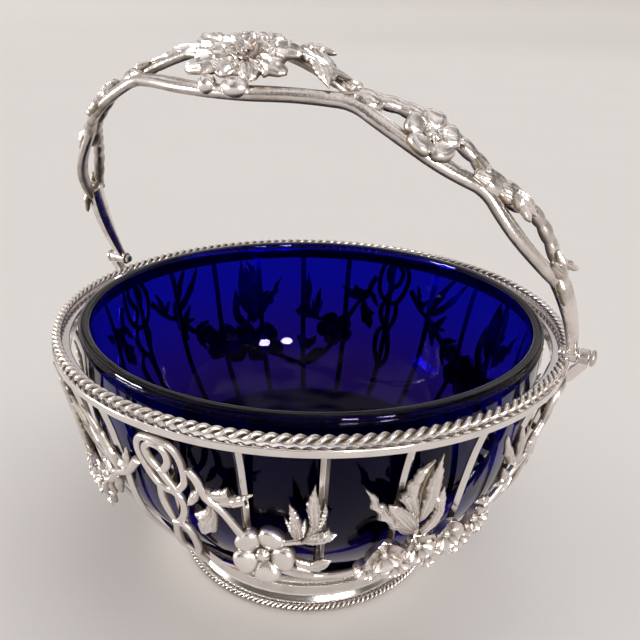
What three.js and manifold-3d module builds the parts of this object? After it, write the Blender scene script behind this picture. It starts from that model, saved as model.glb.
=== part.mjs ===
// Swing-handle basket: silver wirework on a spool foot, a lift-out blue glass liner, a cast openwork handle.
// Millimetres, +Z up. The origin is the middle of the foot's underside and the hinge axis lies along X.
// An azimuth is in degrees round the bowl, from -Y towards +X. Pieces that touch stay a hair apart.

import * as THREE from 'three';
import { mergeVertices } from 'three/addons/utils/BufferGeometryUtils.js';
import Module from 'manifold-3d';

const wasm = await Module();
wasm.setup();

// Driving dimensions

const degree = Math.PI / 180;
const gap = 0.3; // between pieces that touch on the real basket

// Outer line of the bowl, as height and radius of the upright bars' front edge
const bowlLine = [
  [8, 31.7], [12, 36.4], [19.6, 43.6], [28, 49.6], [34, 53],
  [40, 55], [46, 56.2], [52, 57.4], [58, 58.8], [63, 60.3],
];

const barCount = 24;
const barWidth = 1.7;
const barDepth = 1.2;
const barTurn = 1.2; // degrees from the hinge axis's quarter to the nearest bar
const dishTop = 19.4; // upper edge of the plain silver base dish
const dishThickness = 1.2;

const bandRadius = 60.8;
const bandInner = 56.9;
const bandBottom = 62.6;
const bandTop = 64.2;
const rimRopeRadius = 59.5;
const rimRopeWire = 1.05;
const footRopeRadius = 34;
const footRopeWire = 0.75;

const trimLift = 0.35; // back of the applied castings, out from the bars
const vineRadius = 0.75;
const ribbonHalfWidth = 0.68;
const ribbonDepth = 1.0;

const hingeHeight = 68.5;
const handleLean = 30.7; // degrees forward of upright, as it stands at rest
const archHalfWidth = 61;
const archHeight = 61.4;
const archPower = 2.15; // 2 is an ellipse, more is squarer
const archSkew = 1.6; // the casting stands this much askew between its hinges
const nodeAngles = [21.5, 46.5, 69]; // where the two strands meet, from the top of the arch
const strandSpread = 3.3; // strand middles out from the arch's line in the outer loops
const centreSpread = 6.4; // the same under the rose
const nodeSpread = 0.85;
const strandHalfWidth = 1.35;
const strandHalfDepth = 0.95;

const eyeRadius = 1.6;
const eyeInner = 59.6;
const eyeOuter = 62.3;
const knuckleOuter = 64.6;
const pinRadius = 0.7;
const pinHeadRadius = 1.75;
const pinEnd = 66;

// Materials

const silver = new THREE.MeshStandardMaterial({ color: 0xd8d0c6, roughness: 0.16, metalness: 1 });
const castSilver = new THREE.MeshStandardMaterial({ color: 0xd2c9be, roughness: 0.28, metalness: 1 });
const blueGlass = new THREE.MeshStandardMaterial({ color: 0x0a0a6e, roughness: 0.03, metalness: 0 });

// General solids

// Closed solid through a row of rings, each a list of points; an end may be a single point
function skin(rings) {
  const positions = rings.flat().flatMap((p) => [p.x, p.y, p.z]);
  const starts = rings.map((_, i) => rings.slice(0, i).reduce((sum, ring) => sum + ring.length, 0));
  const faces = [];
  for (let i = 0; i + 1 < rings.length; i += 1) {
    const [here, next] = [rings[i].length, rings[i + 1].length];
    const sides = Math.max(here, next);
    for (let k = 0; k < sides; k += 1) {
      const a = starts[i] + (k % here);
      const b = starts[i] + ((k + 1) % here);
      const c = starts[i + 1] + ((k + 1) % next);
      const d = starts[i + 1] + (k % next);
      if (here > 1) faces.push([a, b, d]);
      if (next > 1) faces.push([b, c, d]);
    }
  }
  const last = rings.length - 1;
  for (let k = 1; k + 1 < rings[0].length; k += 1) {
    faces.push([starts[0], starts[0] + k + 1, starts[0] + k]);
  }
  for (let k = 1; k + 1 < rings[last].length; k += 1) {
    faces.push([starts[last], starts[last] + k, starts[last] + k + 1]);
  }
  return outward(positions, faces);
}

// Geometry from points and triangles, turned so that its faces point out
function outward(positions, faces) {
  const at = (i) => new THREE.Vector3().fromArray(positions, 3 * i);
  const volume = faces.reduce((sum, [a, b, c]) => sum + at(a).dot(at(b).cross(at(c))), 0);
  const index = faces.flatMap(([a, b, c]) => (volume > 0 ? [a, b, c] : [a, c, b]));
  const geometry = new THREE.BufferGeometry();
  geometry.setAttribute('position', new THREE.Float32BufferAttribute(positions, 3));
  geometry.setIndex(index);
  return geometry;
}

// Closed solid ready for joining and cutting
function toSolid(geometry) {
  const plain = geometry.clone();
  plain.deleteAttribute('normal');
  plain.deleteAttribute('uv');
  const merged = mergeVertices(plain, 1e-4);
  const mesh = new wasm.Mesh({
    numProp: 3,
    vertProperties: new Float32Array(merged.attributes.position.array),
    triVerts: new Uint32Array(merged.index.array),
  });
  return new wasm.Manifold(mesh);
}

// Geometry of a finished solid
function toGeometry(solid) {
  const mesh = solid.getMesh();
  const geometry = new THREE.BufferGeometry();
  geometry.setAttribute('position', new THREE.Float32BufferAttribute(mesh.vertProperties, 3));
  geometry.setIndex(new THREE.Uint32BufferAttribute(mesh.triVerts, 1));
  return geometry;
}

// One solid from overlapping pieces, less any cutters
function join(pieces, cutters = []) {
  const whole = pieces.map(toSolid).reduce((sum, piece) => sum.add(piece));
  return toGeometry(cutters.map(toSolid).reduce((rest, cutter) => rest.subtract(cutter), whole));
}

// Ring turned round Z from a closed outline of radius and height
function turned(outline, segments) {
  const points = [...outline, outline[0]].map(([r, z]) => new THREE.Vector2(r, z));
  const geometry = new THREE.LatheGeometry(points, segments).rotateX(Math.PI / 2);
  return toGeometry(toSolid(geometry));
}

// Plain ring of round wire
function wireRing(radius, wire, height, segments) {
  return new THREE.TorusGeometry(radius, wire, 6, segments).translate(0, 0, height);
}

// Cylinder along X between two places
function roundAlongX(radius, from, to, sides) {
  const geometry = new THREE.CylinderGeometry(radius, radius, Math.abs(to - from), sides);
  return geometry.rotateZ(Math.PI / 2).translate((from + to) / 2, 0, 0);
}

// Places on the bowl

// Radius of the bowl's outer line at a height, on a smooth curve through its points
function bowlRadius(z) {
  const last = bowlLine.length - 1;
  const found = bowlLine.findIndex(([height]) => height > z);
  const i = found === -1 ? last - 1 : Math.max(found - 1, 0);
  const slope = (j) => {
    const [before, after] = [bowlLine[Math.max(j - 1, 0)], bowlLine[Math.min(j + 1, last)]];
    return (after[1] - before[1]) / (after[0] - before[0]);
  };
  const [[z0, r0], [z1, r1]] = [bowlLine[i], bowlLine[i + 1]];
  const step = z1 - z0;
  const s = (z - z0) / step;
  const bend = s * (1 - s);
  return r0 + (r1 - r0) * s * s * (3 - 2 * s) + step * bend * (slope(i) * (1 - s) - slope(i + 1) * s);
}

// Point at an azimuth and height, lifted out square to the bowl
function onBowl(azimuth, z, lift) {
  const lean = bowlRadius(z + 0.5) - bowlRadius(z - 0.5);
  const size = Math.hypot(1, lean);
  const r = bowlRadius(z) + lift / size;
  const turn = azimuth * degree;
  return new THREE.Vector3(r * Math.sin(turn), -r * Math.cos(turn), z - (lift * lean) / size);
}

// Frame on the bowl: X runs round it, Y up it and Z out of it
function bowlFrame(azimuth, z, lift) {
  const out = onBowl(azimuth, z, 1).sub(onBowl(azimuth, z, 0));
  const round = new THREE.Vector3(Math.cos(azimuth * degree), Math.sin(azimuth * degree), 0);
  const up = new THREE.Vector3().crossVectors(out, round);
  return new THREE.Matrix4().makeBasis(round, up, out).setPosition(onBowl(azimuth, z, lift));
}

// Smooth row of places along a hand-drawn run of [azimuth, height]
function runOnBowl(run, steps) {
  const curve = new THREE.SplineCurve(run.map(([azimuth, z]) => new THREE.Vector2(azimuth, z)));
  return curve.getSpacedPoints(steps).map((p) => [p.x, p.y]);
}

// Foot, dish and rims

// Spool foot under the bowl, flat where it stands
function footCollar() {
  return turned(
    [[31, 0], [32.9, 0], [32.9, 1.2], [31.6, 2.8], [31.2, 5], [31.9, 7.7], [30.4, 7.7], [30, 4.6]],
    44,
  );
}

// Shallow solid dish that closes the bottom of the basket
function baseDish() {
  const heights = [8, 12, 16, dishTop];
  const outer = heights.map((z) => [bowlRadius(z), z]);
  const floor = heights[0] + dishThickness;
  const upper = heights.slice(1).reverse();
  const inner = upper.map((z) => [bowlRadius(z) - dishThickness, z + dishThickness / 3]);
  const outline = [[0, heights[0]], ...outer, ...inner, [30.6, floor], [0, floor]];
  const points = outline.map(([r, z]) => new THREE.Vector2(r, z));
  return toGeometry(toSolid(new THREE.LatheGeometry(points, 44).rotateX(Math.PI / 2)));
}

// Flat rim band with a short collar inside it that steadies the liner
function rimBand() {
  const collarBottom = 61.3;
  return turned(
    [
      [bandInner, collarBottom], [bandInner + 0.9, collarBottom], [bandInner + 0.9, bandBottom],
      [bandRadius, bandBottom], [bandRadius, bandTop], [bandInner, bandTop],
    ],
    60,
  );
}

// One upright bar from the dish to the band, with a ridge down its front
function uprightBar(azimuth) {
  const steps = 7;
  const [bottom, top] = [dishTop + gap, bandBottom - gap];
  const rings = [];
  for (let i = 0; i <= steps; i += 1) {
    const z = bottom + ((top - bottom) * i) / steps;
    const side = barWidth / 2 / (bowlRadius(z) * degree);
    const section = [[-side, -1], [side, -1], [side, -0.65], [0, 0], [-side, -0.65]];
    rings.push(section.map(([round, depth]) => {
      const p = onBowl(azimuth + round, z, depth * barDepth);
      return new THREE.Vector3(p.x, p.y, z);
    }));
  }
  return skin(rings);
}

// Blue glass bowl that stands in the dish and lifts out
function glassLiner() {
  const outer = [
    [0, 10], [26, 10], [33.2, 12.4], [38, 16.4], [42, 21], [47.4, 28], [50.9, 34],
    [52.9, 40.5], [54.4, 51], [54.9, 66.4], [54.2, 67.2],
  ];
  const inner = [
    [52.3, 67.2], [52, 60], [51.3, 48], [49.6, 39.5], [46.4, 32], [40.5, 24.5], [31, 18.4], [18, 15.6], [0, 15],
  ];
  const points = [...outer, ...inner].map(([r, z]) => new THREE.Vector2(r, z));
  return toGeometry(toSolid(new THREE.LatheGeometry(points, 44).rotateX(Math.PI / 2)));
}

// Castings applied to the bars

// Round stem along a run of [azimuth, height]
function stem(run, steps, radius, sides = 3) {
  return skin(runOnBowl(run, steps).map(([azimuth, z], i, all) => {
    const [a0, z0] = all[Math.max(i - 1, 0)];
    const [a1, z1] = all[Math.min(i + 1, steps)];
    const frame = bowlFrame(azimuth, z, trimLift + radius);
    const heading = Math.atan2(z1 - z0, (a1 - a0) * degree * bowlRadius(z));
    return Array.from({ length: sides }, (_, k) => {
      const turn = (k / sides + 0.25) * 2 * Math.PI;
      const [across, out] = [radius * Math.cos(turn), radius * Math.sin(turn)];
      return new THREE.Vector3(-Math.sin(heading) * across, Math.cos(heading) * across, out).applyMatrix4(frame);
    });
  }));
}

// Flat ribbon wire along a run of [azimuth, height]
function ribbon(run, steps, back) {
  return skin(runOnBowl(run, steps).map(([azimuth, z], i, all) => {
    const [a0, z0] = all[Math.max(i - 1, 0)];
    const [a1, z1] = all[Math.min(i + 1, steps)];
    const frame = bowlFrame(azimuth, z, trimLift + back);
    const heading = Math.atan2(z1 - z0, (a1 - a0) * degree * bowlRadius(z));
    const round = -Math.sin(heading) * ribbonHalfWidth;
    const up = Math.cos(heading) * ribbonHalfWidth;
    return [[-1, 0], [1, 0], [0.75, 1], [-0.75, 1]].map(([across, out]) => (
      new THREE.Vector3(round * across, up * across, out * ribbonDepth).applyMatrix4(frame)));
  }));
}

// Lobed leaf on any surface: its base, then its pointed tips from one side to the other.
// Places are [degrees, millimetres], and reach is the millimetres in one degree.
function leaf(place, reach, base, tips) {
  const [edge, crown] = [0.5, 1.3]; // thickness at the outline and over the midrib
  const fullness = 0.28; // swell of the outer lobes, as a share of their length
  const flat = ([a, b]) => new THREE.Vector2(a * reach, b);
  const foot = flat(base);
  const ends = tips.map(flat);
  const turns = ends[0].clone().sub(foot).cross(ends[ends.length - 1].clone().sub(foot)) < 0 ? 1 : -1;
  const shoulder = (end, side) => {
    const run = end.clone().sub(foot);
    const swell = new THREE.Vector2(-run.y, run.x).multiplyScalar(side * fullness);
    return swell.addScaledVector(run, 0.5).add(foot);
  };
  const outline = [foot, shoulder(ends[0], turns)];
  ends.forEach((end, i) => {
    outline.push(end);
    if (i + 1 < ends.length) outline.push(foot.clone().lerp(end.clone().lerp(ends[i + 1], 0.5), 0.5));
  });
  outline.push(shoulder(ends[ends.length - 1], -turns));
  const middle = new THREE.Vector2();
  for (const end of ends) middle.addScaledVector(end, 1 / ends.length);
  middle.lerp(foot, 0.58);
  const at = (p, lift) => place(p.x / reach, p.y, lift);
  const count = outline.length;
  const points = [...outline.map((p) => at(p, 0)), ...outline.map((p) => at(p, edge))];
  points.push(at(middle, 0), at(middle, crown));
  const faces = outline.flatMap((_, k) => {
    const next = (k + 1) % count;
    return [
      [k, next, count + k], [next, count + next, count + k],
      [2 * count, next, k], [2 * count + 1, count + k, count + next],
    ];
  });
  return outward(points.flatMap((p) => [p.x, p.y, p.z]), faces);
}

// Flower in one piece: domed petals round a raised boss, in a frame whose Z points out
function flower(frame, diameter, petals, height, spin, pointsPerPetal = 3) {
  const count = petals * pointsPerPetal;
  const ring = (size, rise, depth) => Array.from({ length: count }, (_, k) => {
    const turn = (k * 2 * Math.PI) / count;
    const lobe = Math.abs(Math.cos((petals * turn) / 2));
    const r = (diameter / 2) * size * (1 - depth + depth * lobe ** 0.6);
    const dome = height * rise * (0.7 + 0.3 * lobe);
    return new THREE.Vector3(r * Math.cos(turn + spin * degree), r * Math.sin(turn + spin * degree), dome)
      .applyMatrix4(frame);
  });
  const top = new THREE.Vector3(0, 0, height * 0.9).applyMatrix4(frame);
  return skin([ring(0.8, 0, 0.3), ring(1, 0.45, 0.42), ring(0.55, 1, 0.25), [top]]);
}

// Ribbon bow and its looped tail, drawn round azimuth 0
function ribbonBow(azimuth) {
  const runs = [
    [[
      [4.2, 61.2], [1.1, 61.6], [-1.8, 61.1], [-3.3, 59.2], [-3.9, 56.6], [-3.4, 54], [-2.6, 51.8], [-1.3, 49.6],
      [0.6, 48.7], [2.6, 49], [4.3, 50.4], [5.4, 52.4], [5.7, 55], [5.5, 57.8], [4.8, 60.2], [3.6, 61.4],
    ], 11],
    [[
      [0.2, 60.8], [2.3, 60.4], [3.2, 58.4], [2.7, 56], [0.9, 54],
      [-0.6, 55], [-1.5, 57], [-1.3, 59.2], [0.4, 60.8],
    ], 7],
    [[[0.7, 54.2], [1.6, 52.4], [3.4, 49.6]], 2],
    [[[-0.8, 49.2], [-1.2, 46], [-0.8, 43.4], [0.9, 39.4]], 3],
    [[[2.2, 49], [3.8, 47.8], [4.1, 45], [3, 41.8], [0.9, 39.4]], 4],
    [[[0.6, 39.8], [3, 40.2], [4.5, 38], [4.4, 33.6], [1.6, 28.2]], 4],
    [[[0.9, 39.8], [-0.2, 35.4], [-0.7, 31], [1.6, 27.6]], 3],
    [[[1.4, 28.6], [1.8, 25.6], [0.6, 22.6]], 2],
  ];
  const pieces = runs.map(([run, steps], i) => ribbon(run, steps, 0.2 * (i % 3)));
  return join(pieces).rotateZ(azimuth * degree);
}

// Flower swag from one bow to the next: leaf sprays, one large flower and a cluster of small ones on a vine
function swag(azimuth) {
  const vine = [
    [7, 56.2], [8.3, 54], [9.4, 50], [12, 47.6], [14.6, 43.4], [17, 39], [20, 33.6], [24.5, 29.4], [31, 27],
    [38, 28.6], [44.5, 32], [51, 34], [58, 35], [64, 37.5], [70.5, 41], [75.8, 46], [80.5, 48.8], [85, 54],
  ];
  const spray = [[20, 33.6], [22.3, 39.4], [27.5, 41.2], [31.6, 41.6]];
  const tallStem = [[51, 34], [50.8, 38], [49.6, 44.5]];
  const leaves = [
    [[9.3, 50], [[14, 53.5], [18.7, 52.2], [17.3, 49.4]]],
    [[9.6, 49.5], [[6.8, 44.4], [8, 39], [10.8, 40.4]]],
    [[8.8, 52.2], [[5.7, 47.2]]],
    [[26.7, 41], [[24.2, 47.1], [25.1, 51.3], [28.1, 47.3]]],
    [[29, 41.2], [[28.1, 52], [29.7, 56.6], [31.9, 51.9]]],
    [[30.4, 41.3], [[32.6, 45], [34.3, 43.3]]],
    [[50.8, 39], [[41.5, 46.2], [38.8, 54], [43.3, 49.3]]],
    [[49.8, 42.5], [[45.6, 51.6], [46.7, 56.7], [49.9, 60]]],
    [[50.2, 43], [[51.8, 61], [53.3, 57.5]]],
    [[51, 38.4], [[53.2, 48.8], [54.9, 51.1]]],
    [[22.8, 30.4], [[32.4, 34.4], [33.5, 29.8]]],
    [[23.2, 30.6], [[30.5, 23.6]]],
    [[76.6, 45.6], [[69.7, 45], [73.8, 39]]],
    [[76, 46], [[66.2, 61], [71.4, 60.3]]],
    [[80.8, 48.6], [[78.2, 51.4]]],
  ];
  const cluster = [
    [44.8, 33.2, 8, 10], [52.3, 33.6, 8, 40], [59.3, 34.8, 7.6, 0], [65.6, 37, 6.6, 30],
    [48.4, 29.8, 7.2, 20], [55.8, 30.4, 7.2, 50], [62.4, 32.4, 6.8, 15],
  ];
  const pieces = [stem(vine, 18, vineRadius), stem(spray, 4, 0.6), stem(tallStem, 2, 0.6)];
  leaves.forEach(([base, tips], i) => {
    const place = (a, z, lift) => onBowl(a, z, trimLift + 0.1 + 0.2 * (i % 2) + lift);
    pieces.push(leaf(place, bowlRadius(base[1]) * degree, base, tips));
  });
  pieces.push(flower(bowlFrame(19.8, 34.6, trimLift), 12.4, 5, 3.1, 18));
  for (const [a, z, size, spin] of cluster) {
    pieces.push(flower(bowlFrame(a, z, trimLift), size, 5, 1.9, spin, 2));
  }
  return join(pieces).rotateZ(azimuth * degree);
}

// Handle, drawn upright about the hinge axis: X across, Z up, Y through its thickness

// Place on the arch, by angle from its top, distance across its width and height off its line
function onArch(angle, across, lift) {
  const [s, c] = [Math.sin(angle * degree), Math.cos(angle * degree)];
  const power = 2 / archPower;
  const x = archHalfWidth * Math.sign(s) * Math.abs(s) ** power;
  const z = archHeight * Math.sign(c) * Math.abs(c) ** power;
  const askew = -archSkew * Math.sin(2 * angle * degree);
  return new THREE.Vector3(x + s * lift, across + askew, z + c * lift);
}

// Frame on the arch: X runs along it to the right, Y across its width and Z out of it
function archFrame(angle, across, lift) {
  const out = new THREE.Vector3(Math.sin(angle * degree), 0, Math.cos(angle * degree));
  const back = new THREE.Vector3(0, 1, 0);
  const along = new THREE.Vector3().crossVectors(back, out);
  return new THREE.Matrix4().makeBasis(along, back, out).setPosition(onArch(angle, across, lift));
}

// How far each strand's middle lies out from the arch's line
function strandOffset(angle) {
  const a = Math.abs(angle);
  const [first, second, third] = nodeAngles;
  if (a < first) {
    return nodeSpread + (centreSpread - nodeSpread) * Math.cos((a / first) * 90 * degree) ** 0.9;
  }
  const [from, to] = a < second ? [first, second] : [second, third];
  const part = Math.min((a - from) / (to - from), 1);
  return nodeSpread + (strandSpread - nodeSpread) * Math.sin(part * Math.PI) ** 0.8;
}

// One strand of the arch, on the front or the back
function strand(side) {
  const end = nodeAngles[2];
  const steps = 30;
  const rings = [];
  for (let i = 0; i <= steps; i += 1) {
    const angle = -end + (2 * end * i) / steps;
    const middle = side * strandOffset(angle);
    rings.push([[-1, -0.2], [-0.45, -1], [0.45, -1], [1, -0.2], [0, 1]].map(([across, out]) => (
      onArch(angle, middle + across * strandHalfWidth, out * strandHalfDepth))));
  }
  return skin(rings);
}

// Plain tapered shaft from the last meeting of the strands down to the eye
function shaft(side) {
  const from = nodeAngles[2] - 2;
  const rings = [[from, 2.3, 1.5], [75, 2.2, 1.45], [82, 1.85, 1.3], [89.4, 1.35, 1.15]];
  return skin(rings.map(([angle, halfWidth, halfDepth]) => (
    [[-1, 0], [-0.5, -1], [0.5, -1], [1, 0], [0.5, 1], [-0.5, 1]].map(([across, out]) => (
      onArch(side * angle, across * halfWidth, out * halfDepth))))));
}

// Pointed tip that curls off the arch, from a root to an end, each [angle, across, lift]
function curledTip([a0, y0, h0], [a1, y1, h1], width) {
  const root = [[-1, 0], [0, -1], [1, 0], [0, 1]].map(([along, out]) => (
    onArch(a0 + (along * width) / 2 / (archHalfWidth * degree), y0, h0 + (out * width) / 2)));
  return skin([root, [onArch(a1, y1, h1)]]);
}

// Handle casting: two strands, joined at each meeting, with a shaft and an eye at each end
function handleCasting() {
  const pieces = [strand(-1), strand(1)];
  for (const side of [-1, 1]) {
    pieces.push(shaft(side), roundAlongX(eyeRadius, side * eyeInner, side * eyeOuter, 12));
    for (const angle of nodeAngles) {
      const clasp = new THREE.SphereGeometry(1, 6, 4).scale(2, 1.9, 1.25);
      pieces.push(clasp.applyMatrix4(archFrame(side * angle, 0, 0)));
    }
    pieces.push(curledTip([side * 70, 0.4, 0], [side * 72.6, 4.4, 2], 2));
    pieces.push(curledTip([side * 70, -0.4, 0], [side * 73, -3.8, 1.4], 2));
  }
  const bores = [-1, 1].map((side) => (
    roundAlongX(pinRadius + gap, side * (eyeInner - 1), side * (eyeOuter + 1), 12)));
  return join(pieces, bores);
}

// Rose at the top of the handle: three rounds of petals, leaves either side and two buds at the front edge
function handleRose() {
  const base = strandHalfDepth + gap;
  const leaves = [
    [[-2, 0.5], [[-7.4, 5], [-9, 2], [-7, -1.5]]], [[2, -0.5], [[7, -3.6], [9, -1.6], [7, 0.6]]],
    [[1.5, 1.5], [[8.2, 3.4], [7.4, 6.4]]], [[-0.5, 2], [[-1, 7.2], [-4.6, 6.4]]],
  ];
  const rounds = [[11, 6, 1.9, 0], [7.6, 5, 3.1, 20], [4.2, 5, 4.1, 0]]; // diameter, petals, height, spin
  const pieces = rounds.map(([diameter, petals, height, spin]) => (
    flower(archFrame(0, 0, base), diameter, petals, height, spin, 2)));
  leaves.forEach(([root, tips], i) => {
    const place = (angle, across, lift) => onArch(angle, across, base + 0.2 + 0.15 * (i % 2) + lift);
    pieces.push(leaf(place, archHalfWidth * degree, root, tips));
  });
  for (const angle of [-2.2, 2.6]) {
    const bud = new THREE.SphereGeometry(1, 6, 4).scale(1.9, 1.7, 1.4);
    pieces.push(bud.applyMatrix4(archFrame(angle, -5.4, base + 1.5)));
  }
  return join(pieces);
}

// Five-petal flower that sits across the loop on each side of the handle
function handleFlower(side) {
  return flower(archFrame(side * 34, 0.4, strandHalfDepth + gap), 7.6, 5, 2.2, 90);
}

// Leaf that lies along the handle, drawn on the right and mirrored on the left
function handleLeaf(side, root, tips) {
  const place = (angle, across, lift) => onArch(side * angle, across, strandHalfDepth + gap + lift);
  return leaf(place, archHalfWidth * degree, root, tips);
}

// Hinges

// Bracket on the rim's outside that carries the outer half of the hinge barrel
function hingeLug(side) {
  const inner = bandRadius + gap;
  const below = hingeHeight - eyeRadius - gap;
  const web = new THREE.Shape([
    new THREE.Vector2(inner, bandBottom), new THREE.Vector2(inner + 0.9, bandBottom),
    new THREE.Vector2(knuckleOuter, below), new THREE.Vector2(knuckleOuter, hingeHeight),
    new THREE.Vector2(eyeOuter + gap, hingeHeight), new THREE.Vector2(eyeOuter + gap, below),
    new THREE.Vector2(inner, below - 1.4),
  ]);
  const plate = new THREE.ExtrudeGeometry(web, { depth: 2.2, bevelEnabled: false });
  plate.rotateX(Math.PI / 2).translate(0, 1.1, -hingeHeight);
  const barrel = roundAlongX(eyeRadius, eyeOuter + gap, knuckleOuter, 12);
  const bore = roundAlongX(pinRadius + gap, eyeOuter - 1, knuckleOuter + 1, 12);
  return join([plate, barrel], [bore]).rotateZ(side > 0 ? 0 : Math.PI).translate(0, 0, hingeHeight);
}

// Rivet through the eye and the barrel, with a domed head outside and a small burr inside
function hingePin(side) {
  const [burrRadius, headBase] = [1.1, knuckleOuter + gap];
  const outline = [
    [0, eyeInner - 1], [burrRadius, eyeInner - 1], [burrRadius, eyeInner - gap], [pinRadius, eyeInner - gap],
    [pinRadius, headBase], [pinHeadRadius, headBase], [pinHeadRadius, headBase + 0.4],
    [0.7 * pinHeadRadius, pinEnd - 0.2], [0, pinEnd],
  ];
  const points = outline.map(([r, x]) => new THREE.Vector2(r, x));
  const geometry = toGeometry(toSolid(new THREE.LatheGeometry(points, 12)));
  return geometry.rotateZ(-side * 90 * degree).translate(0, 0, hingeHeight);
}

// Whole basket

const basket = new THREE.Group();
const handle = new THREE.Group();
handle.position.z = hingeHeight;
handle.rotation.x = handleLean * degree;
basket.add(handle);

function add(name, geometry, material, parent = basket) {
  const mesh = new THREE.Mesh(geometry, material.clone());
  mesh.name = name;
  parent.add(mesh);
}

add('foot_collar', footCollar(), silver);
add('foot_rope', wireRing(footRopeRadius, footRopeWire, footRopeWire + 0.15, 44), castSilver);
add('base_dish', baseDish(), silver);
for (let i = 0; i < barCount; i += 1) {
  add(`bar_${String(i + 1).padStart(2, '0')}`, uprightBar((360 / barCount) * i + barTurn), silver);
}
add('rim_band', rimBand(), silver);
add('rim_rope', wireRing(rimRopeRadius, rimRopeWire, bandTop + gap + rimRopeWire, 60), castSilver);
['front', 'right', 'back', 'left'].forEach((name, i) => add(`bow_${name}`, ribbonBow(90 * i), castSilver));
for (let i = 0; i < 4; i += 1) add(`swag_${i + 1}`, swag(90 * i), castSilver);
add('glass_liner', glassLiner(), blueGlass);

const leafRun = [[10.6, 4.4], [[19.6, 1.2], [15, 0.6], [11.6, 0.8]]];
const smallLeafRun = [[51.5, 2.6], [[61, 0.8], [56.5, -0.8]]];
for (const [name, side] of [['left', -1], ['right', 1]]) {
  add(`hinge_lug_${name}`, hingeLug(side), silver);
  add(`hinge_pin_${name}`, hingePin(side), silver);
  add(`handle_flower_${name}`, handleFlower(side), castSilver, handle);
  add(`handle_leaf_${name}`, handleLeaf(side, ...leafRun), castSilver, handle);
  add(`handle_small_leaf_${name}`, handleLeaf(side, ...smallLeafRun), castSilver, handle);
}
add('handle_casting', handleCasting(), silver, handle);
add('handle_rose', handleRose(), castSilver, handle);

export default basket;
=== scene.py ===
"""Looks of a swing-handle basket: silver wirework, cast trim, rope rims and a blue glass liner.

Sizes are in millimetres until a mesh is made, which is in metres. An azimuth is in degrees round the bowl,
from -Y towards +X, and an angle along the handle is in degrees from the top of its arch.
"""

import logging
import math
from dataclasses import dataclass
from enum import Enum, IntEnum
from typing import Callable, ClassVar, Iterable, Sequence

import bmesh
import bpy
import numpy as np
from mathutils import Matrix, Vector


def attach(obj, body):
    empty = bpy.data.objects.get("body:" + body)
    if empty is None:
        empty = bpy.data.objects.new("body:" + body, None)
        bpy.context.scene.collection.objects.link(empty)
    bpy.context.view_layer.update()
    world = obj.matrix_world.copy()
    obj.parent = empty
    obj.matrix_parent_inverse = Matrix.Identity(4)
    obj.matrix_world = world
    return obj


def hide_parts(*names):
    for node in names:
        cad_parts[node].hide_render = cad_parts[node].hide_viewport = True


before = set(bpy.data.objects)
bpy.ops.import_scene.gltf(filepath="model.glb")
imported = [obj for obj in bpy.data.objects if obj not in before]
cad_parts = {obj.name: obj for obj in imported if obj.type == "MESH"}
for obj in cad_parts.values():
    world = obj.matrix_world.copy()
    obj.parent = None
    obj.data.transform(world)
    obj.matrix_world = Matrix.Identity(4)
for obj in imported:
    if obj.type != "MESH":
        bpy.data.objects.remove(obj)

log = logging.getLogger("basket")

MM = 0.001
HINGE_HEIGHT = 68.5
# Painted shade on the backs of leaves and petals.
BACK_SHADE = 0.85

Place = tuple[float, float]
Spot = tuple[float, float, float]
Colour = tuple[float, float, float]


class Body(str, Enum):
    """Bodies of the frame that pieces ride on."""

    BASKET = "basket"
    LINER = "liner"
    HANDLE = "handle"


class Slot(str, Enum):
    """Material slots of the record."""

    POLISHED = "polished_silver"
    CAST = "cast_silver"
    GLASS = "blue_glass"


class Side(IntEnum):
    """Ends of the hinge axis, by the sign of X."""

    LEFT = -1
    RIGHT = 1

    @property
    def word(self) -> str:
        """Its word in the CAD nodes' names."""
        return self.name.lower()


class PetalForm(Enum):
    """How a petal's face is shaped."""

    DOMED = "domed"
    CUPPED = "cupped"


# Shaders


class Value:
    """A node's output that takes part in Python expressions."""

    def __init__(self, graph: "Graph", socket: bpy.types.NodeSocket) -> None:
        """Wraps a socket.

        Args:
            graph: The graph that new nodes go into.
            socket: The output to wrap.
        """
        self.graph = graph
        self.socket = socket

    def _math(self, operation: str, *terms: "Value | float") -> "Value":
        """Result of a Math node on one, two or three terms."""
        return self.graph.node("ShaderNodeMath", {"operation": operation}, dict(enumerate(terms)))

    def __add__(self, other: "Value | float") -> "Value":
        """Sum."""
        return self._math("ADD", self, other)

    __radd__ = __add__

    def __sub__(self, other: "Value | float") -> "Value":
        """Difference."""
        return self._math("SUBTRACT", self, other)

    def __rsub__(self, other: "Value | float") -> "Value":
        """Difference from a number."""
        return self._math("SUBTRACT", other, self)

    def __mul__(self, other: "Value | float") -> "Value":
        """Product."""
        return self._math("MULTIPLY", self, other)

    __rmul__ = __mul__

    def __truediv__(self, other: "Value | float") -> "Value":
        """Quotient."""
        return self._math("DIVIDE", self, other)

    def clamp(self) -> "Value":
        """The value held between 0 and 1."""
        return self._math("MINIMUM", self._math("MAXIMUM", self, 0.0), 1.0)


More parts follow.
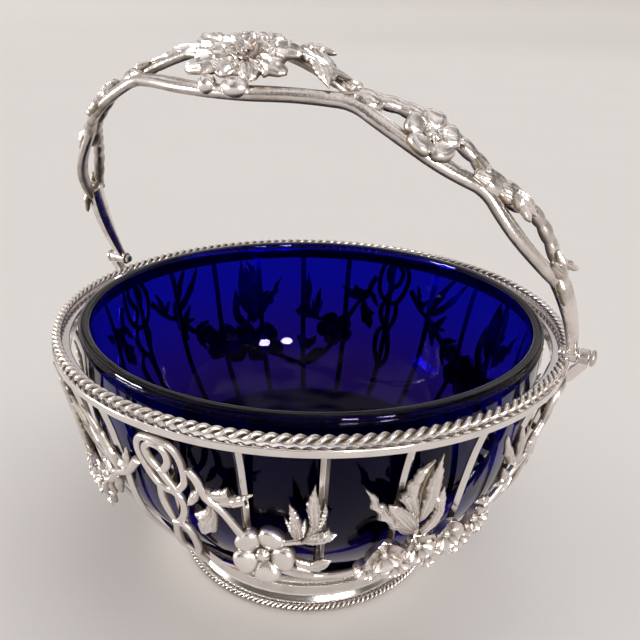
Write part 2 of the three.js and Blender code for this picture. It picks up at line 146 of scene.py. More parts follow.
class Graph:
    """Node tree that is filled by expressions and one node method."""

    def __init__(self, tree: bpy.types.NodeTree) -> None:
        """Empties a tree.

        Args:
            tree: The material's or the world's node tree.
        """
        self.tree = tree
        tree.nodes.clear()

    def node(self, kind: str, settings: dict | None = None, inputs: dict | None = None,
             output: int | str = 0) -> Value:
        """Adds a node.

        Args:
            kind: The node's type name.
            settings: Properties set before the inputs.
            inputs: Values or links by socket name or number.
            output: Which output the result stands for.

        Returns:
            The chosen output.
        """
        made = self.tree.nodes.new(kind)
        for name, setting in (settings or {}).items():
            setattr(made, name, setting)
        for name, value in (inputs or {}).items():
            if isinstance(value, Value):
                self.tree.links.new(value.socket, made.inputs[name])
            else:
                made.inputs[name].default_value = value
        return Value(self, made.outputs[output]) if len(made.outputs) else Value(self, None)

    def mix(self, factor: "Value | float", first: "Value | Colour", second: "Value | Colour") -> Value:
        """Colour between two colours.

        Args:
            factor: 0 for the first colour, 1 for the second.
            first: The first colour.
            second: The second colour.

        Returns:
            The mixed colour.
        """
        named = {0: factor}
        for place, colour in ((6, first), (7, second)):
            named[place] = colour if isinstance(colour, Value) else (*colour, 1.0)
        return self.node("ShaderNodeMix", {"data_type": "RGBA"}, named, output=2)

    def noise(self, scale: float, detail: float = 3.0, roughness: float = 0.55) -> Value:
        """Noise over object space, 0 to 1.

        Args:
            scale: Cycles in a metre.
            detail: Octaves.
            roughness: Share of each finer octave.

        Returns:
            The noise.
        """
        where = self.node("ShaderNodeTexCoord", output="Object")
        inputs = {"Vector": where, "Scale": scale, "Detail": detail, "Roughness": roughness}
        return self.node("ShaderNodeTexNoise", {}, inputs)


def new_material(name: str) -> tuple[bpy.types.Material, Graph]:
    """Material of a name, with its empty graph."""
    made = bpy.data.materials.new(name)
    made.use_nodes = True
    return made, Graph(made.node_tree)


@dataclass(frozen=True)
class Finish:
    """Material of a piece, with the slot that it has in the record."""

    material: bpy.types.Material
    slot: Slot


@dataclass(frozen=True)
class Silver:
    """Silver, from a mirror polish to a soft cast face, darkened at each point by painted shade and patina,
    and in patches by random stains.
    """

    name: str
    bright: Colour = (0.86, 0.815, 0.79)
    # Dark colour of the painted shade and of the patina in recesses.
    tarnish: Colour = (0.17, 0.13, 0.085)
    roughness: float = 0.10
    wear: float = 0.10
    grain: float = 0.15
    grain_scale: float = 2600.0
    stain: float = 0.1
    patch_scale: float = 420.0
    cloud_scale: float = 170.0

    def finish(self, slot: Slot) -> Finish:
        """Builds the finish.

        Args:
            slot: Its slot in the record.

        Returns:
            The finish.
        """
        made, g = new_material(self.name)
        # Per-point painted shade (darker edges, backs, undersides and creases) mixed with patina in the
        # recesses; the cloud adds real stains.
        shade_and_patina = g.node("ShaderNodeAttribute", {"attribute_name": "shade_and_patina"}, output="Fac")
        patchy = g.noise(self.patch_scale)
        fine = g.noise(self.grain_scale, detail=2.0)
        cloud = ((g.noise(self.cloud_scale, detail=2.0) - 0.46) * 5.0).clamp()
        dark = (shade_and_patina * (0.6 + 0.8 * patchy) + cloud * self.stain).clamp()
        tint = g.mix(dark, self.bright, self.tarnish)
        rough = (self.roughness + self.wear * (patchy - 0.35) + 0.28 * dark).clamp()
        bump = g.node("ShaderNodeBump", {}, {"Strength": self.grain, "Distance": 0.00012, "Height": fine})
        shader = g.node("ShaderNodeBsdfPrincipled", {}, {
            "Base Color": tint, "Metallic": 1.0, "Roughness": rough, "Normal": bump,
        })
        g.node("ShaderNodeOutputMaterial", {}, {"Surface": shader})
        return Finish(made, slot)


@dataclass(frozen=True)
class CobaltGlass:
    """Deep blue glass, polished, with the faint waves of a blown and cut liner."""

    name: str
    tint: Colour = (0.003, 0.003, 0.33)
    deep: Colour = (0.012, 0.004, 0.1)
    thick_below: float = 0.026
    thin_above: float = 0.056
    wave_scale: float = 60.0
    cloud_scale: float = 35.0
    waviness: float = 0.04
    veil: Colour = (0.19, 0.16, 0.3)

    def finish(self, slot: Slot) -> Finish:
        """Builds the finish.

        Args:
            slot: Its slot in the record.

        Returns:
            The finish.
        """
        made, g = new_material(self.name)
        wave = g.noise(self.wave_scale, detail=1.0)
        cloud = g.noise(self.cloud_scale, detail=2.0)
        where = g.node("ShaderNodeTexCoord", output="Object")
        height = g.node("ShaderNodeSeparateXYZ", {}, {"Vector": where}, output="Z")
        thin = (height - self.thick_below) / (self.thin_above - self.thick_below)
        colour = g.mix((thin - 0.25 * cloud + 0.1).clamp(), self.deep, self.tint)
        bump = g.node("ShaderNodeBump", {}, {"Strength": self.waviness, "Distance": 0.001, "Height": wave})
        shader = g.node("ShaderNodeBsdfPrincipled", {}, {
            "Base Color": colour, "Roughness": 0.01, "IOR": 1.5, "Transmission Weight": 1.0, "Normal": bump,
            "Specular Tint": (*self.veil, 1.0),
        })
        g.node("ShaderNodeOutputMaterial", {}, {"Surface": shader})
        return Finish(made, slot)


# Curves and surfaces


def toward(azimuth: float, elevation: float) -> Vector:
    """Way out from the basket at an azimuth and an elevation in degrees."""
    a, e = math.radians(azimuth), math.radians(elevation)
    return Vector((math.sin(a) * math.cos(e), -math.cos(a) * math.cos(e), math.sin(e)))


def round_steps(count: int) -> np.ndarray:
    """Angles of even steps round a circle, in radians, as a column."""
    return 2 * np.pi * np.arange(count)[:, None] / count


def spun(radius: np.ndarray, height: np.ndarray, turn: np.ndarray) -> np.ndarray:
    """Points at radii and heights, turned round Z by angles in radians."""
    return np.stack(np.broadcast_arrays(radius * np.cos(turn), radius * np.sin(turn), height), axis=-1)


def lengths(line: np.ndarray) -> np.ndarray:
    """Length along a line up to each of its points."""
    return np.concatenate([[0.0], np.cumsum(np.hypot(*np.diff(line, axis=0).T))])


def placed(axes: np.ndarray, local: np.ndarray) -> np.ndarray:
    """Frame points of places given in a spot's own axes."""
    return axes[0] + local @ axes[1:]


def through(knots: Sequence[float], values: Sequence[float], at: np.ndarray | float) -> np.ndarray:
    """Smooth curve through points.

    Args:
        knots: Rising places of the points.
        values: Their values.
        at: Places to read; past the ends the end piece runs on.

    Returns:
        The values there.
    """
    x, y, q = np.asarray(knots, float), np.asarray(values, float), np.asarray(at, float)
    last = len(x) - 1
    before, after = np.maximum(np.arange(last + 1) - 1, 0), np.minimum(np.arange(last + 1) + 1, last)
    slope = (y[after] - y[before]) / (x[after] - x[before])
    i = np.clip(np.searchsorted(x, q, side="right") - 1, 0, last - 1)
    step = x[i + 1] - x[i]
    s = (q - x[i]) / step
    rise = (y[i + 1] - y[i]) * s * s * (3 - 2 * s)
    return y[i] + rise + step * s * (1 - s) * (slope[i] * (1 - s) - slope[i + 1] * s)


def smooth_run(run: Sequence[Place], steps: int, reach: float) -> np.ndarray:
    """Evenly spaced places along a drawn run.

    Args:
        run: Places as degrees and millimetres.
        steps: How many stretches the result has.
        reach: Millimetres in one degree.

    Returns:
        Array of steps + 1 places.
    """
    flat = np.array(run, float) * (reach, 1.0)
    knots = lengths(flat)
    dense = np.linspace(0, knots[-1], 12 * steps + 1)
    line = np.stack([through(knots, flat[:, k], dense) for k in (0, 1)], axis=1)
    length = lengths(line)
    even = np.linspace(0, length[-1], steps + 1)
    return np.stack([np.interp(even, length, line[:, k]) for k in (0, 1)], axis=1) / (reach, 1.0)


class Surface:
    """Curved face that trim is laid on, with places in degrees and millimetres."""

    def at(self, u: np.ndarray, v: np.ndarray, lift: np.ndarray) -> np.ndarray:
        """Points of the frame at places lifted off the face."""
        raise NotImplementedError

    def reach(self, v: float) -> float:
        """Millimetres in one degree at a place."""
        raise NotImplementedError

    def axes(self, u: float, v: float, lift: float) -> np.ndarray:
        """Origin and three axes on the face.

        Args:
            u: Degrees.
            v: Millimetres.
            lift: Height off the face.

        Returns:
            A 4 by 3 array: origin, then along u, along v and out.
        """
        step = 0.2
        ahead = u + step / self.reach(v)
        spots = [(u, v, lift), (ahead, v, lift), (u, v + step, lift), (u, v, lift + step)]
        origin, along, up, out = (self.at(*(np.float64(n) for n in spot)) for spot in spots)
        out = (out - origin) / step
        along = along - origin
        along = along - out * (along @ out)
        along /= np.linalg.norm(along)
        return np.stack([origin, along, np.cross(out, along), out])


@dataclass
class BowlFace(Surface):
    """Outer line of the bowl, turned round Z."""

    line: Sequence[Place] = (
        (8, 31.7), (12, 36.4), (19.6, 43.6), (28, 49.6), (34, 53),
        (40, 55), (46, 56.2), (52, 57.4), (58, 58.8), (63, 60.3),
    )

    def radius(self, z: np.ndarray | float) -> np.ndarray:
        """Radius of the bars' front edge at a height."""
        heights, radii = zip(*self.line)
        return through(heights, radii, z)

    def at(self, u: np.ndarray, v: np.ndarray, lift: np.ndarray) -> np.ndarray:
        """Points on the bowl, lifted out square to it.

        Args:
            u: Azimuths.
            v: Heights.
            lift: How far out of the face.

        Returns:
            Points in millimetres.
        """
        lean = self.radius(v + 0.5) - self.radius(v - 0.5)
        size = np.hypot(1, lean)
        return spun(self.radius(v) + lift / size, v - lift * lean / size, np.radians(u - 90.0))

    def reach(self, v: float) -> float:
        """Millimetres round the bowl in one degree."""
        return math.radians(float(self.radius(v)))


@dataclass
class ArchFace(Surface):
    """Line of the handle's arch, leaning forward about its hinge."""

    lean: float = 30.7
    half_width: float = 61.0
    height: float = 61.4
    power: float = 2.15
    skew: float = 1.6

    def at(self, u: np.ndarray, v: np.ndarray, lift: np.ndarray) -> np.ndarray:
        """Points on the arch, lifted off its line.

        Args:
            u: Angles along the arch.
            v: Distances across it.
            lift: How far off its line.

        Returns:
            Points in millimetres.
        """
        turn = np.radians(u)
        s, c = np.sin(turn), np.cos(turn)
        share = 2 / self.power
        x = self.half_width * np.sign(s) * np.abs(s) ** share + s * lift
        z = self.height * np.sign(c) * np.abs(c) ** share + c * lift
        y = v - self.skew * np.sin(2 * turn)
        a = math.radians(self.lean)
        forward, up = y * math.cos(a) - z * math.sin(a), y * math.sin(a) + z * math.cos(a)
        return np.stack(np.broadcast_arrays(x, forward, up + HINGE_HEIGHT), axis=-1)

    def reach(self, v: float) -> float:
        """Millimetres along the arch in one degree."""
        return math.radians(self.half_width)


# Mesh building


def put(name: str, data: bpy.types.ID) -> bpy.types.Object:
    """Makes an object and links it into the scene.

    Args:
        name: The object's name.
        data: Its mesh, light or camera.

    Returns:
        The new object.
    """
    made = bpy.data.objects.new(name, data)
    bpy.context.scene.collection.objects.link(made)
    return made


class Form:
    """Closed skins gathered for one piece, with a value of painted shade and patina at each point."""

    def __init__(self) -> None:
        """Starts empty."""
        self.points: list[np.ndarray] = []
        self.shade_and_patina_values: list[np.ndarray] = []
        self.faces: list[tuple[int, ...]] = []
        self.count = 0

    def net(self, points: np.ndarray, shade_and_patina: np.ndarray | float = 0.0, loop_rows: bool = False,
            loop_columns: bool = True) -> None:
        """Adds a net of points.

        Args:
            points: Rows by columns by three, in millimetres.
            shade_and_patina: How much painted shade and patina lie at each point.
            loop_rows: Whether the last row joins the first.
            loop_columns: Whether the last column joins the first; the end rows are then closed too,
                unless they join.
        """
        rows, columns = points.shape[:2]
        index = self.count + np.arange(rows * columns).reshape(rows, columns)
        across = np.concatenate([index, index[:, :1]], axis=1) if loop_columns else index
        full = np.concatenate([across, across[:1]], axis=0) if loop_rows else across
        quads = np.stack([full[:-1, :-1], full[:-1, 1:], full[1:, 1:], full[1:, :-1]], axis=-1)
        self.faces.extend(map(tuple, quads.reshape(-1, 4).tolist()))
        if loop_columns and not loop_rows:
            self.faces.append(tuple(index[0][::-1].tolist()))
            self.faces.append(tuple(index[-1].tolist()))
        self.points.append(points.reshape(-1, 3))
        self.shade_and_patina_values.append(np.broadcast_to(shade_and_patina, (rows, columns)).reshape(-1).astype(float))
        self.count += rows * columns

    def turned(self, profile: Sequence[Place], segments: int, closed: bool = True) -> None:
        """Adds a skin turned round Z.

        Args:
            profile: Radius and height of each point.
            segments: Steps round the axis.
            closed: Whether the profile joins itself; otherwise it runs from axis to axis.
        """
        r, z = np.array(profile, float).T
        self.net(spun(r, z, round_steps(segments)), loop_rows=True, loop_columns=closed)

    def build(self, name: str, node: str, finish: Finish, body: Body, crease: float = 50.0) -> None:
        """Makes the piece.

        Args:
            name: The piece's name.
            node: The CAD node that it stands for.
            finish: Its material and slot.
            body: The body that it rides on.
            crease: Angle in degrees above which an edge stays sharp.
        """
        mesh = bpy.data.meshes.new(name)
        mesh.from_pydata((np.concatenate(self.points) * MM).tolist(), [], self.faces)
        # Keeps each point's painted shade and patina for the silver shaders.
        mesh.attributes.new("shade_and_patina", "FLOAT", "POINT").data.foreach_set(
            "value", np.concatenate(self.shade_and_patina_values).astype(np.float32))
        net = bmesh.new()
        net.from_mesh(mesh)
        bmesh.ops.remove_doubles(net, verts=net.verts, dist=0.002 * MM)
        bmesh.ops.dissolve_degenerate(net, edges=net.edges, dist=0.001 * MM)
        bmesh.ops.recalc_face_normals(net, faces=net.faces)
        net.to_mesh(mesh)
        net.free()
        mesh.shade_smooth()
        mesh.set_sharp_from_angle(angle=math.radians(crease))
        mesh.materials.append(finish.material)
        piece = put(name, mesh)
        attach(piece, body.value)
        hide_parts(node)
        log.info("%s: %d points", name, len(mesh.vertices))


def rounded(profile: Sequence[Place], size: float, steps: int = 3) -> list[Place]:
    """Closed profile with its corners rounded.

    Args:
        profile: Corner points.
        size: How far from a corner its rounding starts.
        steps: Stretches in each rounding.

    Returns:
        The rounded profile.
    """
    points = np.array(profile, float)
    made: list[Place] = []
    for i, corner in enumerate(points):
        ends = []
        for other in (points[i - 1], points[(i + 1) % len(points)]):
            run = other - corner
            length = float(np.hypot(*run))
            ends.append(corner + run * min(size, 0.45 * length) / length)
        for t in np.linspace(0, 1, steps + 1):
            spot = (1 - t) ** 2 * ends[0] + 2 * t * (1 - t) * corner + t * t * ends[1]
            made.append((float(spot[0]), float(spot[1])))
    return made


Section = tuple[np.ndarray, np.ndarray]

ROUND_WIRE: Section = (np.cos(round_steps(12)[:, 0]), 1 + np.sin(round_steps(12)[:, 0]))
RIBBON: Section = (
    np.array([-1, -1, -0.82, -0.5, -0.2, 0, 0.2, 0.5, 0.82, 1, 1]),
    np.array([0, 0.62, 0.92, 1.0, 0.95, 0.93, 0.95, 1.0, 0.92, 0.62, 0]),
)
BAR: Section = (
    np.array([-1, 1, 1, 0.86, 0.07, -0.07, -0.86, -1]),
    np.array([-1, -1, -0.72, -0.62, -0.03, -0.03, -0.62, -0.72]),
)
STRAND: Section = (
    np.array([-1, -0.97, -0.8, -0.35, 0.35, 0.8, 0.97, 1, 0.93, 0.62, 0.2, -0.2, -0.62, -0.93]),
    np.array([0.0, -0.5, -0.85, -1.05, -1.05, -0.85, -0.5, 0.0, 0.45, 0.82, 1.0, 1.0, 0.82, 0.45]),
)
SHAFT: Section = (
    np.array([-1, -0.86, -0.5, 0, 0.5, 0.86, 1, 0.9, 0.5, 0, -0.5, -0.9]),
    np.array([-0.1, -0.72, -0.95, -1, -0.95, -0.72, -0.1, 0.45, 0.85, 1, 0.85, 0.45]),
)
BLADE_ACROSS = np.array(
    [-1, -0.94, -0.8, -0.66, -0.5, -0.33, -0.16, 0, 0.16, 0.33, 0.5, 0.66, 0.8, 0.94, 1])
PETAL_ACROSS = np.array([-1, -0.88, -0.62, -0.32, 0, 0.32, 0.62, 0.88, 1])


def with_back(face: np.ndarray, back: np.ndarray | float | None = None) -> np.ndarray:
    """Values along and across a face, with the two points of its back added.

    Args:
        face: Rows along the piece, columns across it.
        back: Values of the back; without them its points lie just inside the edges.

    Returns:
        The wider array.
    """
    under = face[:, [-2, 1]] if back is None else np.broadcast_to(back, (len(face), 2))
    return np.concatenate([face, under], axis=1)


def sweep(form: Form, face: Surface, run: Sequence[Place], steps: int, section: Section, depth: float,
          lift: float, width: Callable[[np.ndarray], np.ndarray],
          shade_and_patina: Callable[[np.ndarray, np.ndarray], np.ndarray]) -> None:
    """Lays a strip of one section along a run on a face.

    Args:
        form: Where the skin goes.
        face: The face it lies on.
        run: Places that it passes.
        steps: Stretches along it.
        section: Across and out values of its section.
        depth: Height in millimetres for an out value of 1.
        lift: Height of its back off the face.
        width: Half width in millimetres by share of the length.
        shade_and_patina: Painted shade and patina by across value and out value.
    """
    reach = face.reach(float(np.mean([v for _, v in run])))
    path = smooth_run(run, steps, reach)
    along = np.gradient(path * (reach, 1.0), axis=0)
    along /= np.hypot(*along.T)[:, None]
    across, out = section
    half = width(np.linspace(0, 1, steps + 1))[:, None] * across
    u = path[:, :1] - along[:, 1:] * half / reach
    v = path[:, 1:] + along[:, :1] * half
    form.net(face.at(u, v, lift + depth * out), shade_and_patina(across, out))


@dataclass(frozen=True)
class Blade:
    """One lobe of a leaf between two edges that meet at its tip, chased along its length."""

    left: Sequence[Place]
    right: Sequence[Place]
    crown: float = 1.0
    curl: float = 0.4
    fold: float = 0.0
    ridges: float = 0.17
    thickness: float = 0.3
    rows: int = 28
    jag: float = 0.0
    jags: int = 9
    # Extra painted shade for a lobe that lies sunk behind the others.
    shade: float = 0.0

    @classmethod
    def pointed(cls, face: Surface, root: Place, tip: Place, width: float, bend: float = 0.0,
                teeth: int = 3, **shape: float) -> "Blade":
        """Lobe with jagged edges, drawn from its root, tip and width.

        Args:
            face: The face that it will lie on.
            root: Where it starts.
            tip: Where it ends.
            width: Its greatest width in millimetres.
            bend: How far its middle swings aside, as a share of its length.
            teeth: Teeth on each edge.
            shape: Other fields of the lobe.

        Returns:
            The lobe.
        """
        reach = face.reach(root[1])
        start, end = (np.array(p, float) * (reach, 1.0) for p in (root, tip))
        run = end - start
        length = float(np.hypot(*run))
        side = np.array([-run[1], run[0]]) / length
        edges: list[list[Place]] = []
        for sign in (1, -1):
            edge = []
            for k in range(teeth):
                for step, share in ((0.1, 0.74), (0.95, 1.1)):
                    s = (k + step) / (teeth + 0.3)
                    half = 0.87 * width * (1 - s) ** 0.8 * (0.3 + s) ** 0.9 * share
                    spot = start + run * s + side * (4 * bend * length * s * (1 - s) + sign * half)
                    edge.append((float(spot[0]) / reach, float(spot[1])))
            edges.append([*edge, tip])
        return cls(edges[0], edges[1], **shape)

    def _even(self, edge: Sequence[Place], reach: float) -> np.ndarray:
        """Edge in millimetres, as points at even steps from the root to the tip."""
        flat = np.array(edge, float) * (reach, 1.0)
        root = 0.5 * (np.array(self.left[0], float) + np.array(self.right[0], float)) * (reach, 1.0)
        run = flat[-1] - root
        index = np.arange(len(flat))
        share = np.maximum.accumulate((flat - root) @ run / (run @ run)) + 1e-6 * index
        length = lengths(flat)
        even = np.linspace(0, 1, self.rows + 1)
        by_share = np.interp(even, (share - share[0]) / (share[-1] - share[0]), index)
        by_length = np.interp(even, length / length[-1], index)
        spots = 0.7 * by_share + 0.3 * by_length
        return np.stack([np.interp(spots, index, flat[:, k]) for k in (0, 1)], axis=1)

    def lay(self, form: Form, face: Surface, lift: float, turn: float = 0.0, side: int = 1) -> None:
        """Adds the lobe to a form.

        Args:
            form: Where the skin goes.
            face: The face it lies on.
            lift: Height of its back off the face.
            turn: Degrees that it is moved along the face.
            side: -1 for its mirror image.
        """
        reach = face.reach(float(self.left[0][1]))
        left, right = self._even(self.left, reach), self._even(self.right, reach)
        s, t = np.linspace(0, 1, self.rows + 1)[:, None], BLADE_ACROSS
        saw = self.jag * (self.jags * s % 1.0 - 0.35) * np.sin(np.pi * s) ** 0.5
        out = (right - left) / (np.hypot(*(right - left).T)[:, None] + 0.05)
        left, right = left - out * saw, right + out * saw
        spot = left[:, None] * ((1 - t) / 2)[:, None] + right[:, None] * ((1 + t) / 2)[:, None]
        wide = np.hypot(*(right - left).T)[:, None]
        dome = np.sqrt(np.clip(1 - t**2, 0, 1)) * (1 - self.fold * np.exp(-((t / 0.2) ** 2)))
        chased = np.cos(5.2 * np.pi * t * (1 - 0.25 * s)) * np.sqrt(1 - t**2)
        height = np.minimum(self.crown, 0.55 * wide) * np.sin(np.pi * (0.28 + 0.6 * s))
        curl = self.curl * s**2
        high = with_back(self.thickness + height * (dome + self.ridges * chased) + curl, 0.8 * curl)
        # Painted shade: darker towards the edges and the root and in the chased grooves, with patina in the
        # grooves too; the back is painted dark as well.
        dark = self.shade + 0.85 - 1.05 * dome - 0.408 * chased + 0.8 * np.exp(-8 * s)
        dark = with_back(np.clip(dark, 0, 1), BACK_SHADE)
        flat = with_back(spot)
        form.net(face.at(side * flat[..., 0] / reach + turn, flat[..., 1], lift + high), dark)


@dataclass(frozen=True)
class Petal:
    """One petal in a flower's own frame, whose third axis points out."""

    turn: float
    inner: float
    outer: float
    width: float
    rise: float
    form: PetalForm = PetalForm.DOMED
    tilt: float = 0.0
    base: float = 0.0

    def lay(self, form: Form, axes: np.ndarray) -> None:
        """Adds the petal to a form.

        Args:
            form: Where the skin goes.
            axes: Origin and axes, as Surface.axes gives them.
        """
        s, t = np.linspace(0, 1, 11)[:, None], PETAL_ACROSS
        span = self.outer - self.inner
        if self.form is PetalForm.DOMED:
            ball = np.sin(np.pi * s**1.25)
            crest = (1 - np.abs(t) ** 2.6) ** 0.8 * (1 - 0.14 * np.exp(-((t / 0.2) ** 2)))
            side = 0.5 * self.width * ball**0.85 * np.sin(0.5 * np.pi * t)
            middle = 0.5 * (self.inner + self.outer) - 0.5 * span * np.cos(np.pi * s)
            reach = np.broadcast_to(middle, side.shape)
            high = self.rise * (0.1 + ball**0.55 * crest) * (0.72 + 0.36 * s)
            # Painted shade: darker at the edges and the base, bright on the crown.
            dark = 1.25 - 1.9 * ball**0.6 * crest + 0.9 * np.exp(-5 * s)
        else:
            side = 0.5 * self.width * np.sin(np.pi * (0.13 + 0.87 * s)) ** 0.55 * t
            reach = self.inner + span * (s - 0.16 * s * t**2)
            high = self.rise * (0.45 + 0.55 * np.maximum(np.abs(t) ** 2.5, s**2.5)) * (1 - 0.4 * s**12)
            # Painted shade, with some patina, at the base and along the middle of the cup.
            dark = 0.7 * np.exp(-5 * s) + 0.4 * (1 - np.abs(t)) * (1 - s)
        reach, side = with_back(reach), with_back(side)
        high = with_back(self.base + high + self.tilt * s, self.base + 0.9 * self.tilt * s)
        a = math.radians(self.turn)
        x = reach * math.cos(a) - side * math.sin(a)
        y = reach * math.sin(a) + side * math.cos(a)
        points = placed(axes, np.stack([x, y, high], axis=-1))
        # The back of the petal is painted dark as shade.
        form.net(points, np.clip(with_back(dark, BACK_SHADE), 0, 1))


def bead(form: Form, axes: np.ndarray, place: Spot, radius: float, height: float, ripple: float = 0.0,
         lobes: int = 4) -> None:
    """Adds a domed bead, plain or textured like a seed head.

    Args:
        form: Where the skin goes.
        axes: Origin and axes of the flower or spot.
        place: Its middle in those axes.
        radius: Half its width.
        height: Half its height.
        ripple: Depth of its bumps as a share of the radius.
        lobes: Bumps round it.
    """
    down = np.linspace(0.0, np.pi, 9)[:, None]
    around = round_steps(4 * lobes).T
    bumps = ripple * np.cos(lobes * around) * np.cos(3.2 * down) * np.sin(down)
    ball = spun(radius * (1 + bumps) * np.sin(down), height * (1 + bumps) * np.cos(down), around)
    # Painted shade towards the underside, and painted shade with patina in the dips between bumps.
    dark = 0.7 * (1 - np.cos(down)) - 0.4 - 2.2 * bumps / max(ripple, 0.01)
    form.net(placed(axes, ball + place), np.clip(dark, 0, 1))


def tipped(axes: np.ndarray, angle: float) -> np.ndarray:
    """Axes of a flower that is tipped to face upwards.

    Args:
        axes: Origin and axes on the face.
        angle: How far it is tipped, in degrees.

    Returns:
        The new origin and axes.
    """
    origin, along, up, out = axes
    c, s = math.cos(math.radians(angle)), math.sin(math.radians(angle))
    return np.stack([origin, along, c * up - s * out, s * up + c * out])


def flower(form: Form, axes: np.ndarray, kind: PetalForm, diameter: float, petals: int, rise: float,
           spin: float, boss: float, fullness: float) -> None:
    """Adds a flat flower with a textured boss.

    Args:
        form: Where the skin goes.
        axes: Origin and axes at its middle.
        kind: Shape of the petals' faces.
        diameter: Width over the petals.
        petals: How many petals.
        rise: Height of the petals.
        spin: Turn of the first petal in degrees.
        boss: Half width of the boss.
        fullness: Width of the petals against petals that just meet.
    """
    domed = kind is PetalForm.DOMED
    inner = (0.1 if domed else 0.08) * diameter
    middle = 0.5 * (inner + diameter / 2)
    width = (2.3 * middle if domed else 0.98 * diameter) * math.sin(math.pi / petals) * fullness
    tilt = 0.0 if domed else 0.25 * rise
    for i in range(petals):
        Petal(spin + 360 / petals * i, inner, diameter / 2, width, rise, kind, tilt).lay(form, axes)
    bead(form, axes, (0, 0, 0.4 * rise), boss, 0.55 * rise, ripple=0.16, lobes=7)


# Sub-assemblies


@dataclass(frozen=True)
class Rope:
    """Ring of two wires twisted together."""

    ring: float
    radius: float
    height: float
    turns: int
    steps_in_turn: int = 14
    wire_share: float = 0.54

    def build(self, node: str, finish: Finish) -> None:
        """Builds the ring.

        Args:
            node: The CAD node that it stands for.
            finish: Its material and slot.
        """
        form = Form()
        around, side = round_steps(self.turns * self.steps_in_turn), round_steps(12).T
        wire = self.wire_share * self.radius
        orbit = self.radius - wire
        for start in (0, np.pi):
            twist = self.turns * around + start
            out = orbit * np.cos(twist) + wire * np.cos(side)
            up = orbit * np.sin(twist) + wire * np.sin(side)
            # Painted shade, with patina, where each wire dips into the crease between the two.
            deep = np.clip(2.7 - 3.1 * np.hypot(out, up) / self.radius, 0, 1)
            form.net(spun(self.ring + out, self.height + up, around), deep, loop_rows=True)
        form.build(f"{node}_wire", node, finish, Body.BASKET)


@dataclass
class Rims:
    """Foot, dish, band and the twisted wires on foot and rim."""

    silver: Finish
    wire_finish: Finish
    bowl: BowlFace
    foot_rope: Rope = Rope(34.0, 0.75, 0.9, 82)
    rim_rope: Rope = Rope(59.5, 1.05, 65.55, 78)
    foot_line: Sequence[Place] = (
        (31, 0), (32.9, 0), (32.9, 1.2), (31.6, 2.8), (31.2, 5), (31.9, 7.7), (30.4, 7.7), (30, 4.6),
    )
    band_line: Sequence[Place] = (
        (56.9, 61.3), (57.8, 61.3), (57.8, 62.6), (60.8, 62.6), (60.8, 64.2), (56.9, 64.2),
    )
    dish_bottom: float = 8.0
    dish_top: float = 19.4
    dish_wall: float = 1.2
    segments: int = 192

    def foot(self) -> None:
        """Builds the polished spool foot."""
        form = Form()
        form.turned(rounded(self.foot_line, 0.7, 4), self.segments)
        form.build("foot_spool", "foot_collar", self.silver, Body.BASKET, crease=60)

    def dish(self) -> None:
        """Builds the shallow dish that closes the bottom."""
        heights = np.linspace(self.dish_bottom, self.dish_top, 12)
        outer = [(float(self.bowl.radius(z)), float(z)) for z in heights]
        inner = [(float(self.bowl.radius(z)) - self.dish_wall, float(z) + 0.35) for z in heights[:2:-1]]
        edge = outer[-1][0]
        lip = [(edge - 0.2, self.dish_top + 0.35), (edge - 0.9, self.dish_top + 0.4)]
        floor = self.dish_bottom + self.dish_wall
        form = Form()
        form.turned([(0, self.dish_bottom), *outer, *lip, *inner, (30.6, floor), (0, floor)], self.segments,
                    closed=False)
        form.build("base_bowl", "base_dish", self.silver, Body.BASKET)

    def band(self) -> None:
        """Builds the flat rim band with its inner collar."""
        form = Form()
        form.turned(rounded(self.band_line, 0.28), self.segments)
        form.build("rim_band_ring", "rim_band", self.silver, Body.BASKET, crease=60)

    def build(self) -> None:
        """Builds every ring."""
        self.foot_rope.build("foot_rope", self.wire_finish)
        self.rim_rope.build("rim_rope", self.wire_finish)
        self.foot()
        self.dish()
        self.band()


@dataclass
class Bars:
    """Upright bars of V section between dish and band."""

    silver: Finish
    bowl: BowlFace
    count: int = 24
    turn: float = 1.2
    width: float = 1.7
    depth: float = 1.2
    bottom: float = 19.7
    top: float = 62.3
    steps: int = 30

    def build(self) -> None:
        """Builds each bar on the bowl's line."""
        z = np.linspace(self.bottom, self.top, self.steps + 1)[:, None]
        across, out = self.width / 2 * BAR[0], self.depth * BAR[1]
        radius = self.bowl.radius(z)
        for i in range(self.count):
            turn = 360 / self.count * i + self.turn + np.degrees(across / radius)
            spots = self.bowl.at(turn, z, out)
            spots[..., 2] = z
            form = Form()
            # Painted shade on the back and sides of each bar.
            form.net(spots, np.clip(-out / self.depth - 0.55, 0, 1) * 0.8)
            name = f"bar_{i + 1:02d}"
            form.build(f"{name}_ridged", name, self.silver, Body.BASKET, crease=25)


